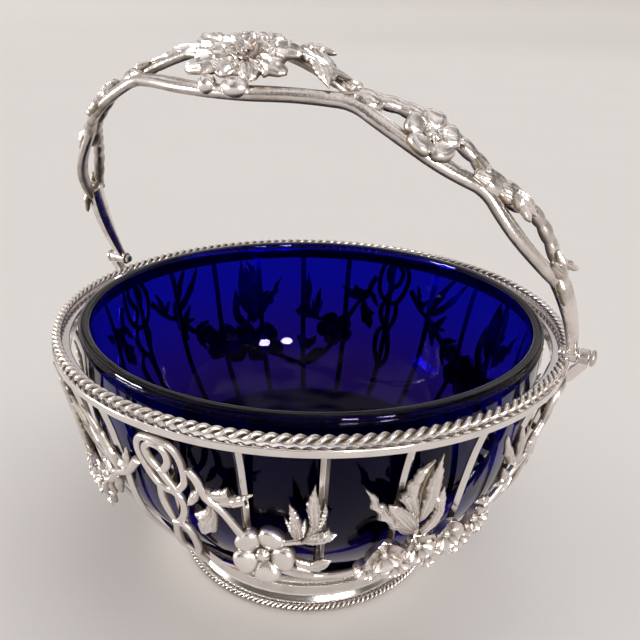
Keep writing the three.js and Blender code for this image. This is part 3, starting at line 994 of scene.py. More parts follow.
@dataclass
class Bows:
    """Ribbon bows with looped tails, under the rim at four places."""

    silver: Finish
    bowl: BowlFace
    half_width: float = 0.76
    depth: float = 1.0
    lift: float = 0.33
    runs: Sequence[tuple[Sequence[Place], int, float]] = (
        (((4.2, 61.2), (1.1, 61.6), (-1.8, 61.1), (-3.3, 59.2), (-3.9, 56.6), (-3.4, 54), (-2.6, 51.8),
          (-1.3, 49.6), (0.6, 48.7), (2.6, 49), (4.3, 50.4), (5.4, 52.4), (5.7, 55), (5.5, 57.8),
          (4.8, 60.2), (3.6, 61.4)), 44, 0.0),
        (((0.2, 60.8), (2.3, 60.4), (3.2, 58.4), (2.7, 56), (0.9, 54), (-0.6, 55), (-1.5, 57), (-1.3, 59.2),
          (0.4, 60.8)), 30, 0.3),
        (((0.7, 54.2), (1.6, 52.4), (3.4, 49.6)), 8, 0.5),
        (((-0.8, 49.2), (-1.2, 46), (-0.8, 43.4), (0.9, 39.4)), 14, 0.0),
        (((2.2, 49), (3.8, 47.8), (4.1, 45), (3, 41.8), (0.9, 39.4)), 16, 0.25),
        (((0.6, 39.8), (3, 40.2), (4.5, 38), (4.4, 33.6), (1.6, 28.2)), 18, 0.4),
        (((0.9, 39.8), (-0.2, 35.4), (-0.7, 31), (1.6, 27.6)), 16, 0.1),
        (((1.4, 28.6), (1.8, 25.6), (0.6, 22.6)), 10, 0.2),
    )

    def build(self) -> None:
        """Builds one bow at each quarter of the bowl."""
        for name, azimuth in (("front", 0), ("right", 90), ("back", 180), ("left", 270)):
            form = Form()
            for run, steps, lift in self.runs:
                moved = [(a + azimuth, z) for a, z in run]
                # Painted shade, with patina, low on the ribbon where it meets the bowl.
                sweep(form, self.bowl, moved, steps, RIBBON,
                      width=lambda s: self.half_width * (0.82 + 0.18 * np.sin(np.pi * s)),
                      depth=self.depth, lift=self.lift + lift,
                      shade_and_patina=lambda across, out: np.clip(1.5 - 1.7 * out, 0, 1))
            form.build(f"bow_{name}_ribbon", f"bow_{name}", self.silver, Body.BASKET)


@dataclass
class Swags:
    """Flower and leaf swags between the bows."""

    silver: Finish
    bowl: BowlFace
    lift: float = 0.35
    tip_up: float = 16.0
    large_place: Place = (19.9, 37.4)
    large_width: float = 12.4
    vine: Sequence[Place] = (
        (7, 56.2), (8.3, 54), (9.4, 50), (12, 47.6), (14.6, 43.4), (17, 39), (20, 33.6), (24.5, 29.4),
        (31, 27), (38, 28.6), (44.5, 32), (51, 34), (58, 35), (64, 37.5), (70.5, 41), (75.8, 46),
        (80.5, 48.8), (85, 54),
    )
    side_stems: Sequence[Sequence[Place]] = (
        ((20, 33.6), (22.3, 39.4), (27.5, 41.2), (31.6, 41.6)),
        ((51, 34), (50.8, 38), (49.6, 44.5)),
    )
    lobes: Sequence[tuple[Sequence[Place], Sequence[Place], float, float]] = (
        (((9.3, 52.2), (10.6, 51.6), (13, 52.5), (13.9, 53.4), (14, 51.2), (16.3, 51.8), (18.6, 52.5)),
         ((9.9, 49.8), (11, 48.8), (12.5, 48.2), (14.5, 48.4), (16.1, 49.2), (17.4, 50), (17, 50.9),
          (18.6, 52.5)), 0.3, 0.0),
        (((10.2, 49.4), (9, 46.5), (6.1, 44.2), (7.2, 43.4), (6.6, 41.6), (6.9, 39.5), (7.5, 39.1)),
         ((10.8, 48.2), (11.4, 46.2), (11.2, 44.2), (10.5, 40.9), (9.1, 40.4), (8, 39.3), (7.5, 39.1)),
         0.3, 0.2),
        (((8.4, 51.9), (6.8, 50.6), (6, 48.7), (5.1, 46.4)),
         ((8.8, 51.2), (7.9, 48.9), (6.6, 47.3), (5.1, 46.4)), 0.0, 0.4),
        (((25.9, 41.2), (25.4, 44), (25.1, 46.4), (25.2, 48.1), (25.1, 51.3)),
         ((27.6, 42.2), (27.6, 44.6), (27.2, 46.8), (26.7, 48.5), (25.9, 50.1), (25.1, 51.3)), 0.0, 0.2),
        (((25.8, 41.6), (24.9, 44.6), (24.2, 47.5)), ((27, 42), (25.8, 44.8), (24.2, 47.5)), 0.0, 0.05),
        (((26.6, 42.4), (27.2, 45.2), (28, 47.6)), ((27.8, 42.2), (28.3, 44.8), (28, 47.6)), 0.0, 0.05),
        (((27.8, 42.4), (28.9, 45.6), (28.6, 47.9), (28.2, 49.9), (28.2, 51.6), (28.6, 52.6), (29.2, 55),
          (29.6, 56.6)),
         ((29.4, 42.4), (30.4, 45), (30.7, 47.6), (30.8, 50), (30.4, 52.2), (29.8, 54.4), (29.6, 56.6)),
         0.0, 0.2),
        (((29, 43), (30.4, 46), (31, 48.8), (31.5, 51.8)),
         ((30, 43), (31.6, 46.4), (32, 49.2), (31.5, 51.8)), 0.0, 0.05),
        (((28, 43), (29.8, 43.9), (31.5, 44.2), (32.4, 45.1), (32.9, 43.9), (34, 43.4)),
         ((27.1, 41.2), (29.4, 40.7), (31.3, 41), (32.8, 41.7), (34, 43.4)), 0.0, 0.35),
        (((26.1, 35.4), (27.5, 34.7), (29.2, 34), (31.6, 35.5), (33.6, 35)),
         ((26.4, 33), (28.6, 31.2), (31, 30.7), (32.4, 31.9), (33.6, 35)), 0.2, 0.1),
        (((23.4, 31.6), (26.5, 31.4), (29.6, 29.4), (31.4, 26.6)),
         ((23.4, 29), (26, 27.4), (28.6, 27), (31.4, 26.6)), 0.2, 0.0),
        (((50, 43), (47.4, 45), (45.8, 46.2), (45.4, 47.4), (43.6, 48.2), (43, 49.6), (41.3, 50.6),
          (40.7, 52.4), (38.3, 54.7)),
         ((49.2, 39.8), (46.9, 41), (46.2, 42.2), (44.4, 43.2), (43.4, 45.2), (41.4, 46.4), (41.4, 48.2),
          (39.6, 49.8), (39.6, 51.8), (38.3, 54.7)), 0.2, 0.0),
        (((50.2, 42.8), (49.6, 45), (48.2, 47.2), (46, 49), (44.6, 50), (42.9, 50.4)),
         ((48.6, 41.6), (46.4, 43.4), (45.2, 45), (44.2, 46.8), (43.2, 48.6), (42.9, 50.4)), 0.15, 0.55),
        (((49.4, 44), (48.6, 48), (48, 52), (48.6, 56), (50.2, 58.6)),
         ((51, 44), (51.4, 48), (51.4, 52), (51, 56), (50.2, 58.6)), 0.9, -0.15),
        (((49.2, 43.6), (48.2, 46.3), (46.6, 48.7), (45, 51.2), (45, 52.4), (46, 52.3), (45.8, 53.7),
          (45.9, 55.6), (46.7, 55.8), (47.1, 58.4), (48, 58.6), (49.9, 60.4)),
         ((50.2, 43.6), (49.9, 46), (49.3, 49), (48.4, 52), (48.2, 55), (48.8, 57.6), (49.9, 60.4)),
         0.0, 0.3),
        (((50, 43.6), (49.9, 46.4), (49.9, 49.4), (50.3, 50.6), (49.8, 53), (50.1, 55.6), (50.8, 57.2),
          (51.2, 61.6)),
         ((51, 43.4), (52.9, 46.2), (53.3, 49.8), (53.1, 53.4), (52.4, 57), (51.9, 58), (51.2, 61.6)),
         0.0, 0.15),
        (((51, 40.8), (53, 43.4), (53.4, 46), (52.5, 49.1), (53.3, 49.2), (54.1, 52)),
         ((52.8, 38.8), (55.2, 41.4), (55.9, 44.5), (55.4, 48), (54.1, 52)), 0.0, 0.1),
    )
    end_leaves: Sequence[tuple[Place, Place, float]] = (
        ((76.6, 45.6), (69.7, 45), 3.0), ((76.2, 45), (73.4, 38.6), 3.0), ((75.2, 44.4), (70.6, 49.6), 2.6),
        ((77, 46.6), (70.4, 60.6), 3.2), ((76, 48), (66, 60.6), 2.8), ((80.8, 48.4), (77.8, 52.6), 2.4),
        ((81, 49), (82.8, 56), 2.2), ((70, 41), (64.5, 43.2), 2.6), ((69.6, 40), (67, 34.6), 2.4),
    )
    cluster: Sequence[tuple[float, float, float, float]] = (
        (44.4, 35.6, 9.0, 10), (51.6, 36.4, 8.8, 40), (58.6, 37, 8.6, 0), (65.6, 38.6, 7.6, 30),
        (41.6, 31.6, 7.0, 65), (48.2, 31.2, 8.8, 20), (56.2, 31.8, 8.6, 50), (63, 33.6, 8.0, 15),
    )

    def stems(self, form: Form, azimuth: float) -> None:
        """Lays the vine and its side stems.

        Args:
            form: Where the skins go.
            azimuth: Where the swag starts.
        """
        for run, steps, radius in ((self.vine, 90, 0.84), *((stem, 20, 0.66) for stem in self.side_stems)):
            moved = [(a + azimuth, z) for a, z in run]
            # Painted shade, with patina, low on each stem where it meets the bowl.
            sweep(form, self.bowl, moved, steps, ROUND_WIRE, depth=0.9 * radius, lift=self.lift,
                  width=lambda s, half=radius: half * (1 + 0.08 * np.sin(40 * s)),
                  shade_and_patina=lambda across, out: np.clip(1.0 - 0.65 * out, 0, 1))

    def foliage(self, form: Form, azimuth: float) -> None:
        """Lays every leaf, lobe by lobe; a lobe sunk behind the others gets extra painted shade.

        Args:
            form: Where the skins go.
            azimuth: Where the swag starts.
        """
        for left, right, fold, lift in self.lobes:
            # A lobe sunk behind the others gets extra painted shade.
            blade = Blade(left, right, fold=fold, rows=54, jag=0.34, shade=0.9 if lift < 0 else 0.0)
            blade.lay(form, self.bowl, self.lift + lift, azimuth)
        for i, (root, tip, width) in enumerate(self.end_leaves):
            blade = Blade.pointed(self.bowl, root, tip, width, bend=0.06 * (-1) ** i)
            blade.lay(form, self.bowl, self.lift + 0.15 * (i % 3), azimuth)

    def flowers(self, form: Form, azimuth: float) -> None:
        """Lays the large flower and the two rows of small ones.

        Args:
            form: Where the skins go.
            azimuth: Where the swag starts.
        """
        a, z = self.large_place
        large = tipped(self.bowl.axes(a + azimuth, z, self.lift + 0.8), self.tip_up + 6.0)
        flower(form, large, PetalForm.DOMED, self.large_width, petals=5, rise=2.3, spin=-5, boss=1.5,
               fullness=1.1)
        for i, (a, z, size, spin) in enumerate(self.cluster):
            spot = tipped(self.bowl.axes(a + azimuth, z, self.lift + 0.5 + 0.12 * (i % 2)), self.tip_up)
            flower(form, spot, PetalForm.CUPPED, size, petals=4 + i % 2, rise=1.7, spin=spin, boss=1.0,
                   fullness=0.95)

    def build(self) -> None:
        """Builds one swag in each quarter."""
        for quarter in range(4):
            form = Form()
            for lay in (self.stems, self.foliage, self.flowers):
                lay(form, 90.0 * quarter)
            name = f"swag_{quarter + 1}"
            form.build(f"{name}_chased", name, self.silver, Body.BASKET)


@dataclass
class Liner:
    """Blue glass bowl that stands in the dish."""

    glass: Finish
    outer: Sequence[Place] = (
        (0, 10), (26, 10), (33.2, 12.4), (38, 16.4), (42, 21), (47.4, 28), (50.9, 34),
        (52.9, 40.5), (54.4, 51), (54.9, 66.1),
    )
    inner: Sequence[Place] = (
        (52.3, 66.7), (52, 60), (51.3, 48), (49.6, 39.5), (46.4, 32), (40.5, 24.5), (31, 18.4), (18, 15.6),
        (0, 15),
    )
    top: float = 67.2

    @staticmethod
    def _fair(points: Sequence[Place], steps: int) -> list[Place]:
        """Even, smooth copy of a profile."""
        return [tuple(p) for p in smooth_run(points, steps, 1.0).tolist()]

    def build(self) -> None:
        """Builds the liner."""
        rim = [(54.7, self.top - 0.3), (54.2, self.top), (53.0, self.top), (52.5, self.top - 0.2)]
        profile = [*self._fair(self.outer, 60), *rim, *self._fair(self.inner, 60)]
        form = Form()
        form.turned(profile, 256, closed=False)
        form.build("liner_blown", "glass_liner", self.glass, Body.LINER, crease=60)


def turned_on_hinge(form: Form, profile: Sequence[Place], side: Side, closed: bool = True) -> None:
    """Adds a skin turned round the hinge axis.

    Args:
        form: Where the skin goes.
        profile: Radius and distance along X of each point.
        side: Which end of the axis.
        closed: Whether the profile joins itself.
    """
    r, x = np.array(profile, float).T
    points = np.roll(spun(r, side * x, round_steps(48)), 1, axis=-1) + (0, 0, HINGE_HEIGHT)
    form.net(points, 0.25, loop_rows=True, loop_columns=closed)


@dataclass
class Hinges:
    """Lugs on the rim and the rivets through them."""

    silver: Finish
    barrel: Sequence[Place] = ((1.0, 62.6), (1.6, 62.6), (1.6, 64.6), (1.0, 64.6))
    web: Sequence[Place] = (
        (61.1, 62.6), (61.9, 62.6), (64.6, 66.6), (64.6, 67.4), (62.6, 67.4), (62.6, 66.8), (61.1, 65.2),
    )
    web_half: float = 1.1
    shank: Sequence[Place] = (
        (0, 58.6), (0.9, 58.6), (1.1, 58.9), (1.1, 59.3), (0.7, 59.3), (0.7, 64.9), (1.6, 64.9),
        (1.75, 65.0),
    )
    head_radius: float = 1.75
    head_base: float = 65.3
    head_rise: float = 0.7

    def lug(self, side: Side) -> None:
        """Builds the bracket with its half of the barrel.

        Args:
            side: Which end of the axis.
        """
        form = Form()
        turned_on_hinge(form, rounded(self.barrel, 0.2), side)
        x, z = np.array(rounded(self.web, 0.3)).T
        rings = []
        for level, inset in ((-1, 0.024), (-0.9, 0), (0.9, 0), (1, 0.024)):
            y = np.full_like(x, self.web_half * level)
            ring = (side * (x + inset * (x.mean() - x)), y, z + inset * (z.mean() - z))
            rings.append(np.stack(ring, axis=-1))
        form.net(np.stack(rings))
        name = f"hinge_lug_{side.word}"
        form.build(f"{name}_bracket", name, self.silver, Body.BASKET, crease=40)

    def pin(self, side: Side) -> None:
        """Builds the rivet with its domed head.

        Args:
            side: Which end of the axis.
        """
        dome = [(self.head_radius * math.cos(a), self.head_base + self.head_rise * math.sin(a))
                for a in np.linspace(0, np.pi / 2, 9)]
        form = Form()
        turned_on_hinge(form, [*self.shank, *dome], side, closed=False)
        name = f"hinge_pin_{side.word}"
        form.build(f"{name}_rivet", name, self.silver, Body.BASKET, crease=40)

    def build(self) -> None:
        """Builds both hinges."""
        for side in Side:
            self.lug(side)
            self.pin(side)


@dataclass
class Handle:
    """Openwork swing handle: two strands, shafts, eyes, rose, flowers and leaves."""

    silver: Finish
    cast: Finish
    arch: ArchFace
    nodes: tuple[float, float, float] = (21.5, 46.5, 69.0)
    spread: float = 3.6
    centre_spread: tuple[float, float, float, float] = (6.7, 6.1, 4.2, 2.8)
    node_spread: float = 0.95
    half_width: float = 1.4
    half_depth: float = 0.95
    trim: float = 1.25
    rose_place: Place = (2.4, 0.9)
    rose_tiers: Sequence[tuple[float, int, float, float, float]] = (
        (11.6, 5, 1.5, 10, -0.1), (8.4, 4, 1.5, 52, 0.4), (5.2, 3, 1.3, 20, 1.0), (2.8, 2, 0.9, 60, 1.6),
    )
    rose_leaves: Sequence[tuple[Place, Place, float, float, float]] = (
        ((0.5, 2.4), (-8.2, 5.6), 7.0, 0.08, 0.0), ((0.8, 0), (-8.8, 1.2), 6.6, -0.05, -0.2),
        ((1, -1.2), (-5.6, -4.4), 7.0, 0.05, -0.1), ((1.8, -1.6), (1.2, -6), 6.4, 0.0, 0.1),
        ((3.4, -1.4), (5.8, -6), 6.4, 0.06, 0.0), ((5, -0.4), (10.4, -2.4), 6.0, -0.06, 0.1),
        ((4.6, 2), (10.8, 3.4), 6.4, 0.06, 0.0), ((3.2, 3), (6.8, 6.2), 6.4, 0.0, 0.0),
        ((0.4, 3), (-0.8, 6.4), 6.4, 0.0, -0.1),
    )
    buds: Sequence[tuple[float, float, float, float]] = ((-0.4, -7.1, 1.7, 1.0), (3.8, -6.9, 1.9, 1.4))
    strand_steps: int = 240
    shaft_angles: Sequence[float] = (67, 75, 82, 88.95)
    shaft_widths: Sequence[float] = (2.3, 2.2, 1.8, 1.25)
    shaft_depths: Sequence[float] = (1.5, 1.45, 1.3, 1.1)
    eye_ring: Sequence[Place] = ((1.0, 59.6), (1.6, 59.6), (1.6, 62.3), (1.0, 62.3))
    knuckles: Sequence[tuple[int, float, float, Spot]] = (
        (0, 1.2, -0.4, (3.2, 2.1, 1.6)), (1, -0.4, -0.4, (3.2, 2.0, 1.5)), (1, 4.4, 0.9, (3.4, 1.7, 1.6)),
        (2, -0.6, 0.1, (2.8, 2.5, 1.45)),
    )
    clasp_leaves: Sequence[tuple[int, Place, Place, float, float, float]] = (
        (0, (-3.5, 1.6), (3.4, -0.4), 2.6, 0.1, 1.3), (0, (-2.6, -1.8), (2.8, -0.2), 2.0, 0.0, 1.1),
        (1, (-4.6, 1.9), (1.8, -0.7), 2.2, 0.3, 1.3), (1, (-3.8, -1.9), (3.2, -0.6), 2.0, 0.2, 1.2),
        (1, (1.4, -1.0), (7.4, 0.8), 2.4, 0.1, 1.5), (2, (-4.6, 1.9), (2.0, 0.2), 2.6, 0.3, 1.4),
        (2, (-4.6, -1.9), (2.4, -0.4), 2.6, 0.3, 1.4), (2, (-1.5, 2.0), (3.3, 4.9), 2.2, 1.1, 1.3),
        (2, (-1.0, -1.6), (4.0, -3.6), 2.4, 0.5, 1.1), (2, (0.5, 0.2), (7.5, 0.4), 3.2, 0.1, 0.8),
    )
    flower_angle: float = 34.2
    flower_lift: ClassVar[dict[Side, float]] = {Side.LEFT: -0.9, Side.RIGHT: -0.3}
    flower_leaves: Sequence[tuple[Place, float]] = (((39.6, 1.6), 2.4), ((29.4, 0.2), 2.0))
    small_leaves: Sequence[tuple[Place, Place, float]] = (
        ((50, 0.4), (55.4, -1.2), 3.2), ((50.4, 1.4), (56, 0.8), 2.6),
    )
    folded_leaf: tuple[Sequence[Place], Sequence[Place]] = (
        ((9.4, 5), (11.9, 2.3), (14.3, -0.4), (17.3, -2.5)),
        ((13.4, 5.4), (16.1, 3), (17.4, 0.8), (17, -0.8), (17.3, -2.5)),
    )
    leaf_root: Place = (9.4, 4.9)
    leaf_lift: ClassVar[dict[Side, float]] = {Side.LEFT: -0.9, Side.RIGHT: 0.0}
    leaf_crown: ClassVar[dict[Side, float]] = {Side.LEFT: 0.5, Side.RIGHT: 1.0}
    leaf_tips: ClassVar[dict[Side, Sequence[tuple[Place, float, float]]]] = {
        Side.LEFT: (((18.4, 1.8), 2.4, 0.02), ((14.2, 4.6), 2.2, 0.05)),
        Side.RIGHT: (((19.6, 1.2), 2.6, -0.08), ((15.2, 5.6), 2.4, 0.05)),
    }

    def offset(self, angle: np.ndarray) -> np.ndarray:
        """How far each strand's middle lies out from the arch's line.

        Args:
            angle: Angles along the arch.

        Returns:
            Distances in millimetres.
        """
        a = np.abs(angle)
        first, second, third = self.nodes
        knots, spreads = (0, 5, 12, 16.5, first), (*self.centre_spread, self.node_spread)
        middle = through(knots, spreads, np.minimum(a, first))
        start = np.where(a < second, first, second)
        end = np.where(a < second, second, third)
        part = np.clip((a - start) / (end - start), 0, 1)
        loops = self.node_spread + (self.spread - self.node_spread) * np.sin(part * np.pi) ** 0.8
        return np.where(a < first, middle, loops)

    def strand(self, form: Form, side: int) -> None:
        """Lays one strand from one last meeting to the other; the one behind is notched.

        Args:
            form: Where the skin goes.
            side: 1 for the strand behind, -1 for the one in front.
        """
        end, steps = self.nodes[2], self.strand_steps
        q = np.linspace(-end, end, steps + 1)
        middle = side * np.mean([self.offset(q + step) for step in np.linspace(-2.2, 2.2, 9)], axis=0)
        middle = middle - 0.4 * np.cos(np.radians(1.3 * q))
        across, out = STRAND
        slope = np.gradient(middle, q) / math.radians(self.arch.half_width)
        notched = (np.abs(np.sin(0.9 * q)) ** 0.35 - 0.8) * (0.3 if side > 0 else 0.0) * (np.abs(q) > 17)
        wide = self.half_width * (1 + 0.07 * np.sin(q * 0.4 + side) + notched) * np.hypot(1, slope)
        weave = 0.18 * side * np.cos(np.pi * q / 25.0)
        u = np.broadcast_to(q[:, None], (steps + 1, len(across)))
        lift = self.half_depth * out * (1 + 1.5 * notched)[:, None] + weave[:, None]
        points = self.arch.at(u, middle[:, None] + wide[:, None] * across, lift)
        # Painted shade on the underside of the strand.
        form.net(points, np.clip(0.55 - 0.8 * out, 0, 0.5))

    def shaft(self, form: Form, side: Side) -> None:
        """Lays the plain tapered shaft down to the eye.

        Args:
            form: Where the skin goes.
            side: Which side of the handle.
        """
        q = np.linspace(self.shaft_angles[0], self.shaft_angles[-1], 40)[:, None]
        half = through(self.shaft_angles, self.shaft_widths, q)
        deep = through(self.shaft_angles, self.shaft_depths, q)
        across, out = SHAFT
        form.net(self.arch.at(side * q, half * across, deep * out))

    def knuckle(self, form: Form, angle: float, across: float, size: Spot) -> None:
        """Adds a long domed swelling where the strands meet.

        Args:
            form: Where the skin goes.
            angle: Its middle along the arch.
            across: Its middle across the arch.
            size: Half its length, width and height.
        """
        length, width, height = size
        axes = self.arch.axes(angle, across, 0.25)
        axes[1] *= length / width
        bead(form, axes, (0, 0, 0), width, height)

    def clasps(self, form: Form, side: Side) -> None:
        """Adds the knuckles and curled leaves where the strands meet.

        Args:
            form: Where the skins go.
            side: Which side of the handle.
        """
        for node, along, across, size in self.knuckles:
            self.knuckle(form, side * (self.nodes[node] + along), across, size)
        for node, root, tip, width, curl, crown in self.clasp_leaves:
            ends = [(self.nodes[node] + along, across) for along, across in (root, tip)]
            blade = Blade.pointed(self.arch, *ends, width, teeth=2, curl=curl, crown=crown)
            blade.lay(form, self.arch, 0.35, side=side)

    def casting(self) -> None:
        """Builds the casting with everything that is in one piece with it."""
        form = Form()
        for side in Side:
            self.strand(form, side)
            self.shaft(form, side)
            turned_on_hinge(form, rounded(self.eye_ring, 0.18), side)
            self.clasps(form, side)
        form.build("handle_openwork", "handle_casting", self.silver, Body.HANDLE, crease=45)

    def rose(self) -> None:
        """Builds the rose at the top with its leaves and buds."""
        form = Form()
        axes = tipped(self.arch.axes(*self.rose_place, self.trim - 0.45), -8)
        for diameter, petals, rise, spin, base in self.rose_tiers:
            width = 1.2 * diameter * math.sin(math.pi / petals)
            for i in range(petals):
                Petal(spin + 360 / petals * i, 0.06 * diameter, diameter / 2, width, rise, PetalForm.CUPPED,
                      tilt=0.25, base=base).lay(form, axes)
        bead(form, axes, (0, 0, 1.8), 0.8, 0.7, ripple=0.15, lobes=5)
        for root, tip, width, bend, lift in self.rose_leaves:
            blade = Blade.pointed(self.arch, root, tip, width, bend, fold=0.45, curl=0.3, crown=1.5,
                                  ridges=0.22)
            blade.lay(form, self.arch, self.trim + lift)
        for angle, across, radius, stretch in self.buds:
            bud = self.arch.axes(angle, across, self.trim - 0.3)
            bud[1] *= stretch
            bead(form, bud, (0, 0, 0), radius, 1.6)
        form.build("handle_rose_head", "handle_rose", self.cast, Body.HANDLE)

    def side_flower(self, side: Side) -> None:
        """Builds the flower in the loop of one side.

        Args:
            side: Which side of the handle.
        """
        form = Form()
        axes = self.arch.axes(side * self.flower_angle, -1.0, self.trim + self.flower_lift[side])
        flower(form, axes, PetalForm.DOMED, diameter=9.8, petals=5, rise=1.5, spin=90 + 18 * side, boss=1.4,
               fullness=1.16)
        for tip, width in self.flower_leaves:
            blade = Blade.pointed(self.arch, (self.flower_angle, 0), tip, width)
            blade.lay(form, self.arch, self.trim - 0.2, side=side)
        name = f"handle_flower_{side.word}"
        form.build(f"{name}_head", name, self.cast, Body.HANDLE)

    def long_leaf(self, side: Side) -> None:
        """Builds the leaf that hangs by the rose; on the left it lies along the strand.

        Args:
            side: Which side of the handle.
        """
        form = Form()
        if side is Side.RIGHT:
            Blade(*self.folded_leaf, fold=0.35, rows=40, jag=0.3).lay(form, self.arch, self.trim)
        for tip, width, bend in self.leaf_tips[side]:
            blade = Blade.pointed(self.arch, self.leaf_root, tip, width, bend, crown=self.leaf_crown[side])
            blade.lay(form, self.arch, self.trim + self.leaf_lift[side], side=side)
        name = f"handle_leaf_{side.word}"
        form.build(f"{name}_chased", name, self.cast, Body.HANDLE)

    def small_leaf(self, side: Side) -> None:
        """Builds the small leaf below the flower of one side.

        Args:
            side: Which side of the handle.
        """
        form = Form()
        for root, tip, width in self.small_leaves:
            blade = Blade.pointed(self.arch, root, tip, width, teeth=2, crown=1.3)
            blade.lay(form, self.arch, self.trim, side=side)
        name = f"handle_small_leaf_{side.word}"
        form.build(f"{name}_chased", name, self.cast, Body.HANDLE)

    def build(self) -> None:
        """Builds the whole handle."""
        self.casting()
        self.rose()
        for side in Side:
            for add in (self.side_flower, self.long_leaf, self.small_leaf):
                add(side)


@dataclass(frozen=True)
class Lamp:
    """Round lamp at the basket that shows only as a gleam in glass and silver."""

    name: str
    azimuth: float
    elevation: float
    distance: float
    size: float
    power: float

    def add(self) -> None:
        """Adds the lamp to the scene."""
        way = toward(self.azimuth, self.elevation)
        data = bpy.data.lights.new(self.name, "AREA")
        data.shape = "DISK"
        data.size = self.size
        data.energy = self.power
        lamp = put(self.name, data)
        lamp.location = Vector((0, 0, 0.05)) + way * self.distance
        lamp.rotation_euler = (-way).to_track_quat("-Z", "Y").to_euler()
        lamp.visible_camera = False
        lamp.visible_diffuse = False


@dataclass(frozen=True)
class Daylight:
    """Broad soft light from one side, which leaves no gleam."""

    azimuth: float = 100.0
    elevation: float = 62.0
    spread: float = 80.0
    strength: float = 1.06

    def add(self) -> None:
        """Adds the light to the scene."""
        data = bpy.data.lights.new("daylight", "SUN")
        data.angle = math.radians(self.spread)
        data.energy = self.strength
        light = put("daylight", data)
        light.rotation_euler = (-toward(self.azimuth, self.elevation)).to_track_quat("-Z", "Y").to_euler()
        light.visible_glossy = False


@dataclass(frozen=True)
class Room:
    """The room's glow: bright and dark patches, dim behind the camera and across from it."""

    dark: Colour = (0.17, 0.155, 0.15)
    bright: Colour = (1.16, 1.125, 1.1)
    across: Colour = (0.17, 0.15, 0.15)
    behind: Colour = (0.13, 0.12, 0.11)
    patch_scale: float = 3.1

    def add(self, azimuth: float) -> None:
        """Makes it the scene's world.

        Args:
            azimuth: Where the camera stands.
        """
        world = bpy.data.worlds.new("room")
        world.use_nodes = True
        bpy.context.scene.world = world
        g = Graph(world.node_tree)
        look = g.node("ShaderNodeTexCoord", output="Generated")
        x, y, z = (g.node("ShaderNodeSeparateXYZ", {}, {"Vector": look}, output=n) for n in "XYZ")
        a = math.radians(azimuth)
        facing = x * math.sin(a) - y * math.cos(a)
        near = (0.5 + 2.0 * (facing - 0.25)).clamp() * (2.4 - 3.0 * z).clamp()
        far = (-2.0 * facing - 0.6).clamp() * (1.8 - 3.0 * z).clamp()
        patch = g.node("ShaderNodeTexNoise", {}, {"Vector": look, "Scale": self.patch_scale, "Detail": 1.0})
        lit = ((patch - 0.5) * 6.0 + 0.2 + 0.45 * z).clamp()
        glow = g.mix(far * 0.7, g.mix(lit, self.dark, self.bright), self.across)
        colour = g.mix(near, glow, self.behind)
        shader = g.node("ShaderNodeBackground", {}, {"Color": colour, "Strength": 1.0})
        g.node("ShaderNodeOutputWorld", {}, {"Surface": shader})


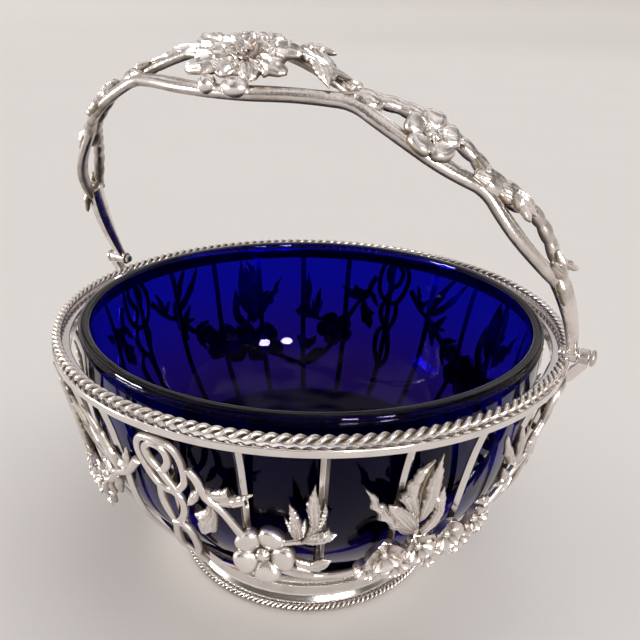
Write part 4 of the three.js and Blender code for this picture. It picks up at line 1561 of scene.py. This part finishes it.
@dataclass
class Studio:
    """Pale floor that turns up into a low wall, soft light and the camera."""

    azimuth: float = 28.2
    elevation: float = 26.3
    distance: float = 172.3
    look_height: float = 50.0
    roll: float = 1.43
    focal_pixels: float = 670.0
    picture: float = 640.0
    centre: Place = (310.3, 365.8)
    floor_colour: Colour = (0.84, 0.812, 0.79)
    floor_patch: float = 0.97
    floor_scale: float = 3.0
    wall_colour: Colour = (0.93, 0.902, 0.88)
    wall: Sequence[Place] = ((0, 0), (5.8, 0), (7, 0.12), (7.7, 0.6), (8, 1.4), (8, 2.1))
    screen: Sequence[Place] = ((8, 2.1), (8, 4), (8, 6))
    segments: int = 96
    lamps: Sequence[Lamp] = (
        Lamp("window_1", 61.1, 20.9, 0.701, 0.09, 2.6),
        Lamp("window_2", 45.3, 21.9, 0.701, 0.09, 2.6),
        Lamp("window_3", -51.9, 13.2, 0.708, 0.11, 3.0),
        Lamp("window_4", -60.8, 13.4, 0.710, 0.11, 3.0),
    )
    daylight: Daylight = Daylight()
    room: Room = Room()

    def camera(self) -> None:
        """Sets the camera at the picture's viewing angle."""
        data = bpy.data.cameras.new("camera")
        data.sensor_width = 36.0
        data.lens = data.sensor_width * self.focal_pixels / self.picture
        data.shift_x = (self.picture / 2 - self.centre[0]) / self.picture
        data.shift_y = (self.centre[1] - self.picture / 2) / self.picture
        data.clip_start = 0.005
        camera = put("camera", data)
        back = toward(self.azimuth, self.elevation)
        roll = Matrix.Rotation(math.radians(self.roll), 3, "Z")
        turn = (-back).to_track_quat("-Z", "Y").to_matrix() @ roll
        place = Vector((0, 0, self.look_height * MM)) + back * self.distance * MM
        camera.matrix_world = Matrix.Translation(place) @ turn.to_4x4()
        bpy.context.scene.camera = camera

    def backdrop(self, name: str, profile: Sequence[Place],
                 material: bpy.types.Material) -> bpy.types.Object:
        """Adds a pale ring round the basket, closed by a disc if it starts at the axis.

        Args:
            name: The piece's name.
            profile: Radius and height of each step, in metres.
            material: Its finish.

        Returns:
            The new object.
        """
        start = 1 if profile[0][0] == 0 else 0
        r, z = np.array(profile[start:]).T
        points = spun(r, z, round_steps(self.segments))
        columns = len(r)
        faces = [tuple(range(0, self.segments * columns, columns))] if start else []
        for i in range(self.segments):
            for k in range(columns - 1):
                a, b = i * columns + k, (i + 1) % self.segments * columns + k
                faces.append((a, a + 1, b + 1, b))
        mesh = bpy.data.meshes.new(name)
        mesh.from_pydata(points.reshape(-1, 3).tolist(), [], faces)
        mesh.shade_smooth()
        mesh.polygons[0].use_smooth = not start
        mesh.materials.append(material)
        piece = put(name, mesh)
        return piece

    def floor(self) -> None:
        """Lays the floor with its low wall, and a screen above it that only the camera sees."""
        made, g = new_material("floor")
        patch = tuple(self.floor_patch * c for c in self.floor_colour)
        tone = g.mix(g.noise(self.floor_scale), self.floor_colour, patch)
        where = g.node("ShaderNodeTexCoord", output="Object")
        height = g.node("ShaderNodeSeparateXYZ", {}, {"Vector": where}, output="Z")
        tone = g.mix((height * 3.0).clamp(), tone, self.wall_colour)
        shader = g.node("ShaderNodeBsdfPrincipled", {}, {
            "Base Color": tone, "Roughness": 1.0, "Specular IOR Level": 0.0})
        g.node("ShaderNodeOutputMaterial", {}, {"Surface": shader})
        self.backdrop("floor", self.wall, made)
        screen = self.backdrop("screen", self.screen, made)
        for rays in ("diffuse", "glossy", "transmission", "shadow", "volume_scatter"):
            setattr(screen, f"visible_{rays}", False)

    def light(self) -> None:
        """Adds the lamps, the daylight and the room's glow."""
        for source in (*self.lamps, self.daylight):
            source.add()
        self.room.add(self.azimuth)

    def build(self) -> None:
        """Sets up the whole studio."""
        self.camera()
        self.floor()
        self.light()
        bpy.context.scene.view_settings.view_transform = "Standard"


def main() -> None:
    """Builds every sub-assembly in order."""
    logging.basicConfig(level=logging.INFO, format="%(name)s: %(message)s")
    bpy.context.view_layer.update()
    Studio().build()
    polished = Silver("polished silver").finish(Slot.POLISHED)
    cast = Silver("cast silver", bright=(0.88, 0.82, 0.79), roughness=0.2, wear=0.14,
                  grain=0.4).finish(Slot.CAST)
    worn = Silver("worn silver", bright=(0.83, 0.765, 0.73), roughness=0.16, wear=0.16, grain=0.55,
                  grain_scale=1700.0, stain=0.34).finish(Slot.POLISHED)
    glass = CobaltGlass("cobalt glass").finish(Slot.GLASS)
    bowl, arch = BowlFace(), ArchFace()
    Rims(polished, cast, bowl).build()
    Bars(polished, bowl).build()
    Bows(cast, bowl).build()
    Swags(cast, bowl).build()
    Liner(glass).build()
    Hinges(worn).build()
    Handle(worn, cast, arch).build()


if __name__ == "__main__":
    main()
